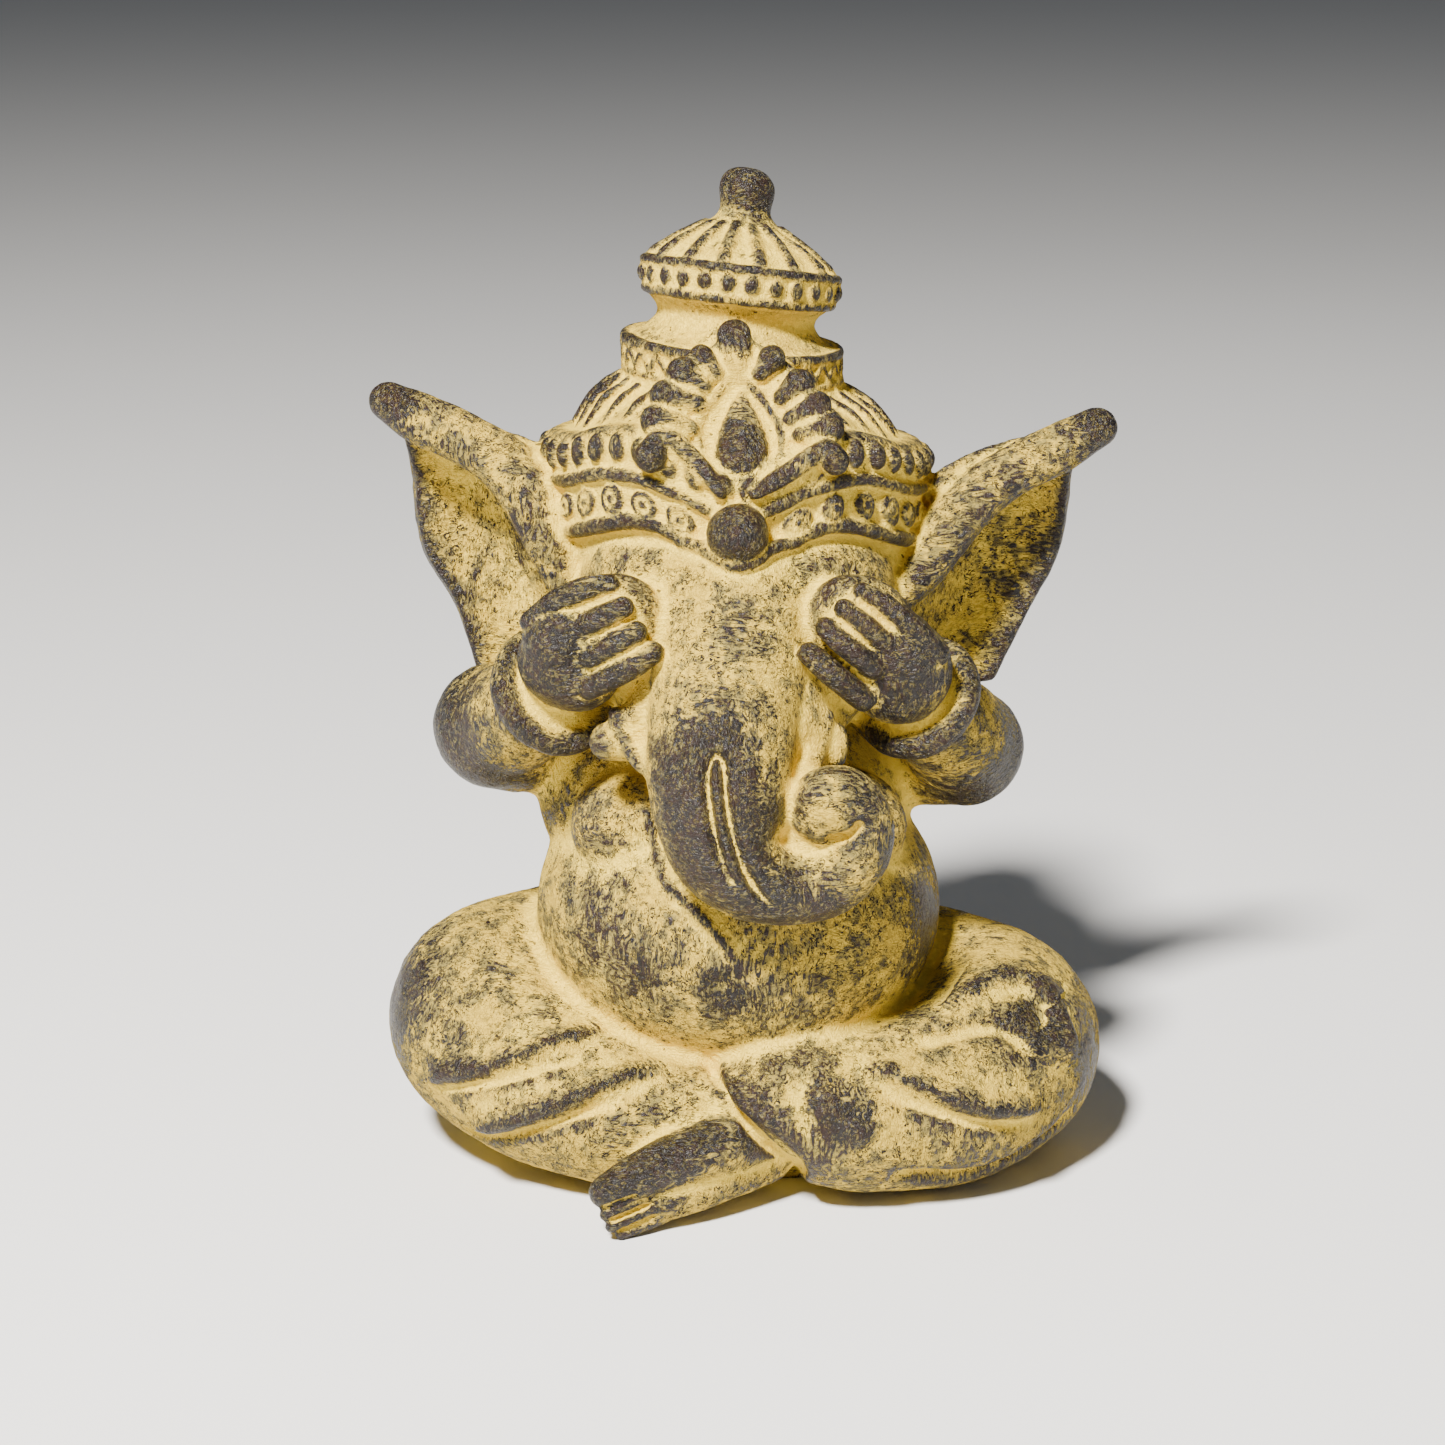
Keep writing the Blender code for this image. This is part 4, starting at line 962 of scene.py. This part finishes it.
class Finish:
    """A material and the nodes laid in it."""

    def __init__(self, name):
        self.material = bpy.data.materials.new(name)
        self.material.use_nodes = True
        self.tree = self.material.node_tree
        self.shader = self.tree.nodes["Principled BSDF"]

    def node(self, kind, settings=None, sockets=None, output=0):
        """Adds a node: its settings first, then the values or links of its sockets."""
        made = self.tree.nodes.new(kind)
        for name, value in (settings or {}).items():
            setattr(made, name, value)
        for name, value in (sockets or {}).items():
            self.feed(made.inputs[name], value)
        return Amount(self, made.outputs[output])

    def feed(self, socket, value):
        if isinstance(value, Amount):
            self.tree.links.new(value.socket, socket)
        else:
            socket.default_value = value

    def grain(self, place, scale, detail, roughness, distortion=0.0):
        """Soft noise between 0 and 1."""
        return self.node("ShaderNodeTexNoise", {}, {
            "Vector": place, "Scale": scale, "Detail": detail, "Roughness": roughness,
            "Distortion": distortion})

    def step(self, value, start, end):
        """Runs smoothly from 0 at start to 1 at end. Start may be the higher of the two."""
        return self.node("ShaderNodeMapRange", {"interpolation_type": "SMOOTHSTEP"}, {
            "Value": value, "From Min": start, "From Max": end})

    def blend(self, share, one, two):
        """Mixes two colours."""
        return self.node("ShaderNodeMix", {"data_type": "RGBA"}, {
            "Factor": share, 6: one, 7: two}, output=2)

    def stretched(self, place, turn, scale):
        """A place turned and stretched, so that noise in it is drawn out like brush marks."""
        return self.node("ShaderNodeMapping", {"vector_type": "POINT"}, {
            "Vector": place, "Rotation": turn, "Scale": scale})


# The noises of the finish: how fine, then their detail, roughness and distortion
PATCHES, SMUDGES = (42, 4, 0.6), (150, 4, 0.6, 0.6)
MOTTLE, BLOTS, SPECKLE = (420, 4, 0.62, 0.8), (800, 3, 0.6, 0.5), (2000, 2, 0.6)
DABS_SLANTED, DABS_LEVEL, DABS_SIDE = (580, 2, 0.5, 2.2), (540, 2, 0.5, 2.2), (26, 2, 0.5)
WORMS, PITS = (480, 1, 0.5, 1.6), (560, 1, 0.5)
# How the two kinds of brush marks are turned and drawn out
SLANTED_TURN, SLANTED_SCALE = (0.3, 0.9, 0.2), (1, 1, 0.28)
LEVEL_TURN, LEVEL_SCALE = (0.2, 0.15, 0.5), (0.27, 1, 1)
# How much relief of each size, and the rubbing and painted shade, lay the dark stone bare
EDGE_SHARE, RIDGE_SHARE, FORM_SHARE, RUBBED_AND_SHADED_SHARE = 1.9, 1.5, 0.5, 0.86
# Where each step of the finish starts and ends
BARE, THIN, CHALK, MARKED = (0.27, 0.46), (-0.08, 0.40), (-0.2, 0.4), (-0.20, 0.10)
LINE, CURL, PIT = (0.044, 0.022), (0.030, 0.014), (0.72, 0.77)
WASH_ROUGHNESS, POLISH, SHINE = 0.95, 0.62, 0.33
BUMP_STRENGTH, BUMP_DISTANCE = 0.8, 0.0013


def stone_finish(colours):
    """Ochre wash in the hollows, dark stone where it is rubbed and where shade is painted on two
    shaded spots, and brush marks between.
    """
    finish = Finish("worn_cast_stone")
    place = finish.node("ShaderNodeTexCoord", output="Object")

    def worn(name):
        return finish.node("ShaderNodeAttribute", {"attribute_name": name}, output="Fac")

    edge, ridge, form, rubbed_and_shaded = worn("edge"), worn("ridge"), worn("form"), worn("rubbed_and_shaded")
    patches = finish.grain(place, *PATCHES)
    smudges = finish.grain(place, *SMUDGES)
    mottle = finish.grain(place, *MOTTLE)
    blots = finish.grain(place, *BLOTS)
    speckle = finish.grain(place, *SPECKLE)
    dabs_slanted = finish.grain(finish.stretched(place, SLANTED_TURN, SLANTED_SCALE), *DABS_SLANTED)
    dabs_level = finish.grain(finish.stretched(place, LEVEL_TURN, LEVEL_SCALE), *DABS_LEVEL)
    side = finish.step(finish.grain(place, *DABS_SIDE), 0.44, 0.56)
    dabs = dabs_slanted * side + dabs_level * (1 - side)
    worms = finish.grain(place, *WORMS)

    # where the dark stone is bare, where the wash is thin over it, and where it is chalky
    proud = edge * EDGE_SHARE + ridge * RIDGE_SHARE + form * FORM_SHARE
    broad = proud + rubbed_and_shaded * RUBBED_AND_SHADED_SHARE + (patches - 0.5) * 0.8
    dark = broad + (smudges - 0.5) * 0.9 + (mottle - 0.5) * 0.5 + (dabs - 0.5) * 1.5
    bare = finish.step(dark, *BARE)
    thin = finish.step(broad + (smudges - 0.5) * 1.7 + (mottle - 0.5) * 1.3, *THIN)
    chalk = finish.step((patches - 0.5) * 1.4 - proud * 1.5 + (blots - 0.5) * 1.2, *CHALK)

    # the wash's colours, the bare stone's, and one over the other
    wash = finish.blend(chalk, colours.ochre[:], colours.pale[:])
    wash = finish.blend(thin * 0.76, wash, colours.moss[:])
    rub = finish.blend(finish.step(patches * 0.6 + mottle, 0.72, 0.95), colours.charcoal[:],
                       colours.umber[:])
    rub = finish.blend(finish.step(blots, 0.58, 0.66) * 0.5, rub, colours.moss[:])
    colour = finish.blend(bare, wash, rub)

    # thin brush strokes, dark in the wash and ochre in the dark, and the cast's pits
    marked = finish.step(broad + (smudges - 0.5) * 1.4, *MARKED)
    lines = finish.step(abs(dabs - 0.5), *LINE) * finish.step(blots, 0.46, 0.52)
    curls = finish.step(abs(worms - 0.5), *CURL) * finish.step(mottle, 0.48, 0.55)
    strokes = finish.node("ShaderNodeMath", {"operation": "MAXIMUM"}, {0: lines, 1: curls})
    colour = finish.blend(strokes * (1 - bare) * marked, colour, colours.charcoal[:])
    colour = finish.blend(lines * bare * 0.45, colour, wash)
    pits = finish.step(finish.grain(place, *PITS), *PIT)
    colour = finish.blend(pits * 0.8, colour, colours.umber[:])
    finish.feed(finish.shader.inputs["Base Color"], colour)

    # rubbing has polished the bare stone
    roughness = WASH_ROUGHNESS - bare * POLISH + (speckle - 0.5) * 0.3
    finish.feed(finish.shader.inputs["Roughness"], roughness)
    finish.shader.inputs["Specular IOR Level"].default_value = SHINE
    height = dabs * 0.9 + mottle * 0.9 + blots * 0.5 + speckle * 0.22 - pits - strokes * 0.35
    bump = finish.node("ShaderNodeBump", {}, {
        "Strength": BUMP_STRENGTH, "Distance": BUMP_DISTANCE, "Height": height}, output="Normal")
    finish.feed(finish.shader.inputs["Normal"], bump)
    return finish.material


class STATUE_OT_finish(bpy.types.Operator):
    """Wash the stone with ochre and rub its proud places dark"""
    bl_idname = "statue.finish"
    bl_label = "Finish the stone"
    bl_options = {"REGISTER", "UNDO"}

    def execute(self, context):
        statue = bpy.data.objects["statue_casting"]
        statue.data.materials.clear()
        statue.data.materials.append(stone_finish(context.scene.stone_finish))
        return {"FINISHED"}


# The stage, in metres. The photograph's width and focal length are in its pixels
PICTURE_WIDTH, FOCAL_LENGTH = 1445, 3340
SENSOR_WIDTH = 36
CAMERA_TARGET, CAMERA_DISTANCE, CAMERA_TILT = Vector((-0.004, 0, 0.109)), 0.850, 16
LIGHT_TARGET = Vector((0, -0.02, 0.11))
# Each light's name, place, size and colour
LIGHTS = (
    ("key", (-0.44, -1.00, 1.32), 0.24, (1.0, 0.96, 0.90)),
    ("fill", (1.1, -0.9, 0.6), 0.9, (0.93, 0.96, 1.0)),
    ("back", (0.3, 1.1, 0.9), 0.8, (1.0, 1.0, 1.0)),
)
SKY_COLOUR, FLOOR_COLOUR, FLOOR_ROUGHNESS = (0.82, 0.90, 1.0, 1), (0.80, 0.80, 0.80, 1), 0.9


def area_light(name, place, size, power, colour):
    """A round soft light that looks at the statue's middle."""
    light = bpy.data.lights.new(name, "AREA")
    light.shape = "DISK"
    light.size = size
    light.energy = power
    light.color = colour
    lamp = bpy.data.objects.new(name, light)
    bpy.context.scene.collection.objects.link(lamp)
    lamp.location = place
    lamp.rotation_euler = (LIGHT_TARGET - Vector(place)).to_track_quat("-Z", "Y").to_euler()


class STATUE_OT_stage(bpy.types.Operator):
    """Set up a plain floor, soft studio light and the camera"""
    bl_idname = "statue.stage"
    bl_label = "Set up the stage"
    bl_options = {"REGISTER", "UNDO"}

    def execute(self, context):
        light = context.scene.studio_light
        bpy.ops.mesh.primitive_plane_add(size=12, location=(0, 0, 0))
        floor = bpy.context.object
        floor.name = "floor"
        bpy.ops.object.transform_apply(location=True, rotation=True, scale=True)
        paper = Finish("pale_floor")
        paper.shader.inputs["Base Color"].default_value = FLOOR_COLOUR
        paper.shader.inputs["Roughness"].default_value = FLOOR_ROUGHNESS
        floor.data.materials.append(paper.material)
        for name, place, size, colour in LIGHTS:
            area_light(name, place, size, light.key if name == "key" else light.fill, colour)
        world = bpy.data.worlds.new("studio")
        world.use_nodes = True
        background = world.node_tree.nodes["Background"]
        background.inputs["Color"].default_value = SKY_COLOUR
        background.inputs["Strength"].default_value = light.sky
        context.scene.world = world
        lens = bpy.data.cameras.new("camera")
        lens.sensor_width = SENSOR_WIDTH
        lens.lens = FOCAL_LENGTH / PICTURE_WIDTH * SENSOR_WIDTH
        lens.clip_start = 0.01
        camera = bpy.data.objects.new("camera", lens)
        context.scene.collection.objects.link(camera)
        tilt = math.radians(CAMERA_TILT)
        back = Vector((0, -math.cos(tilt), math.sin(tilt)))
        camera.location = CAMERA_TARGET + back * CAMERA_DISTANCE
        camera.rotation_euler = (math.radians(90) - tilt, 0, 0)
        context.scene.camera = camera
        return {"FINISHED"}


class STATUE_PT_panel(bpy.types.Panel):
    bl_label = "Statue"
    bl_idname = "STATUE_PT_panel"
    bl_space_type = "VIEW_3D"
    bl_region_type = "UI"
    bl_category = "Statue"

    def draw(self, context):
        layout = self.layout
        for group in ("casting_sizes", "stone_finish", "studio_light"):
            settings = getattr(context.scene, group)
            box = layout.box()
            for name in settings.__annotations__:
                box.prop(settings, name)
        for operator in OPERATORS:
            layout.operator(operator.bl_idname)


OPERATORS = (STATUE_OT_casting, STATUE_OT_finish, STATUE_OT_stage)
SETTINGS = {"casting_sizes": CastingSizes, "stone_finish": StoneFinish, "studio_light": StudioLight}


def register():
    for name, group in SETTINGS.items():
        bpy.utils.register_class(group)
        setattr(bpy.types.Scene, name, bpy.props.PointerProperty(type=group))
    for kind in (*OPERATORS, STATUE_PT_panel):
        bpy.utils.register_class(kind)


def unregister():
    for kind in (STATUE_PT_panel, *reversed(OPERATORS)):
        bpy.utils.unregister_class(kind)
    for name, group in SETTINGS.items():
        delattr(bpy.types.Scene, name)
        bpy.utils.unregister_class(group)


def main():
    register()
    bpy.ops.statue.casting()
    bpy.ops.statue.finish()
    bpy.ops.statue.stage()


if __name__ == "__main__":
    main()
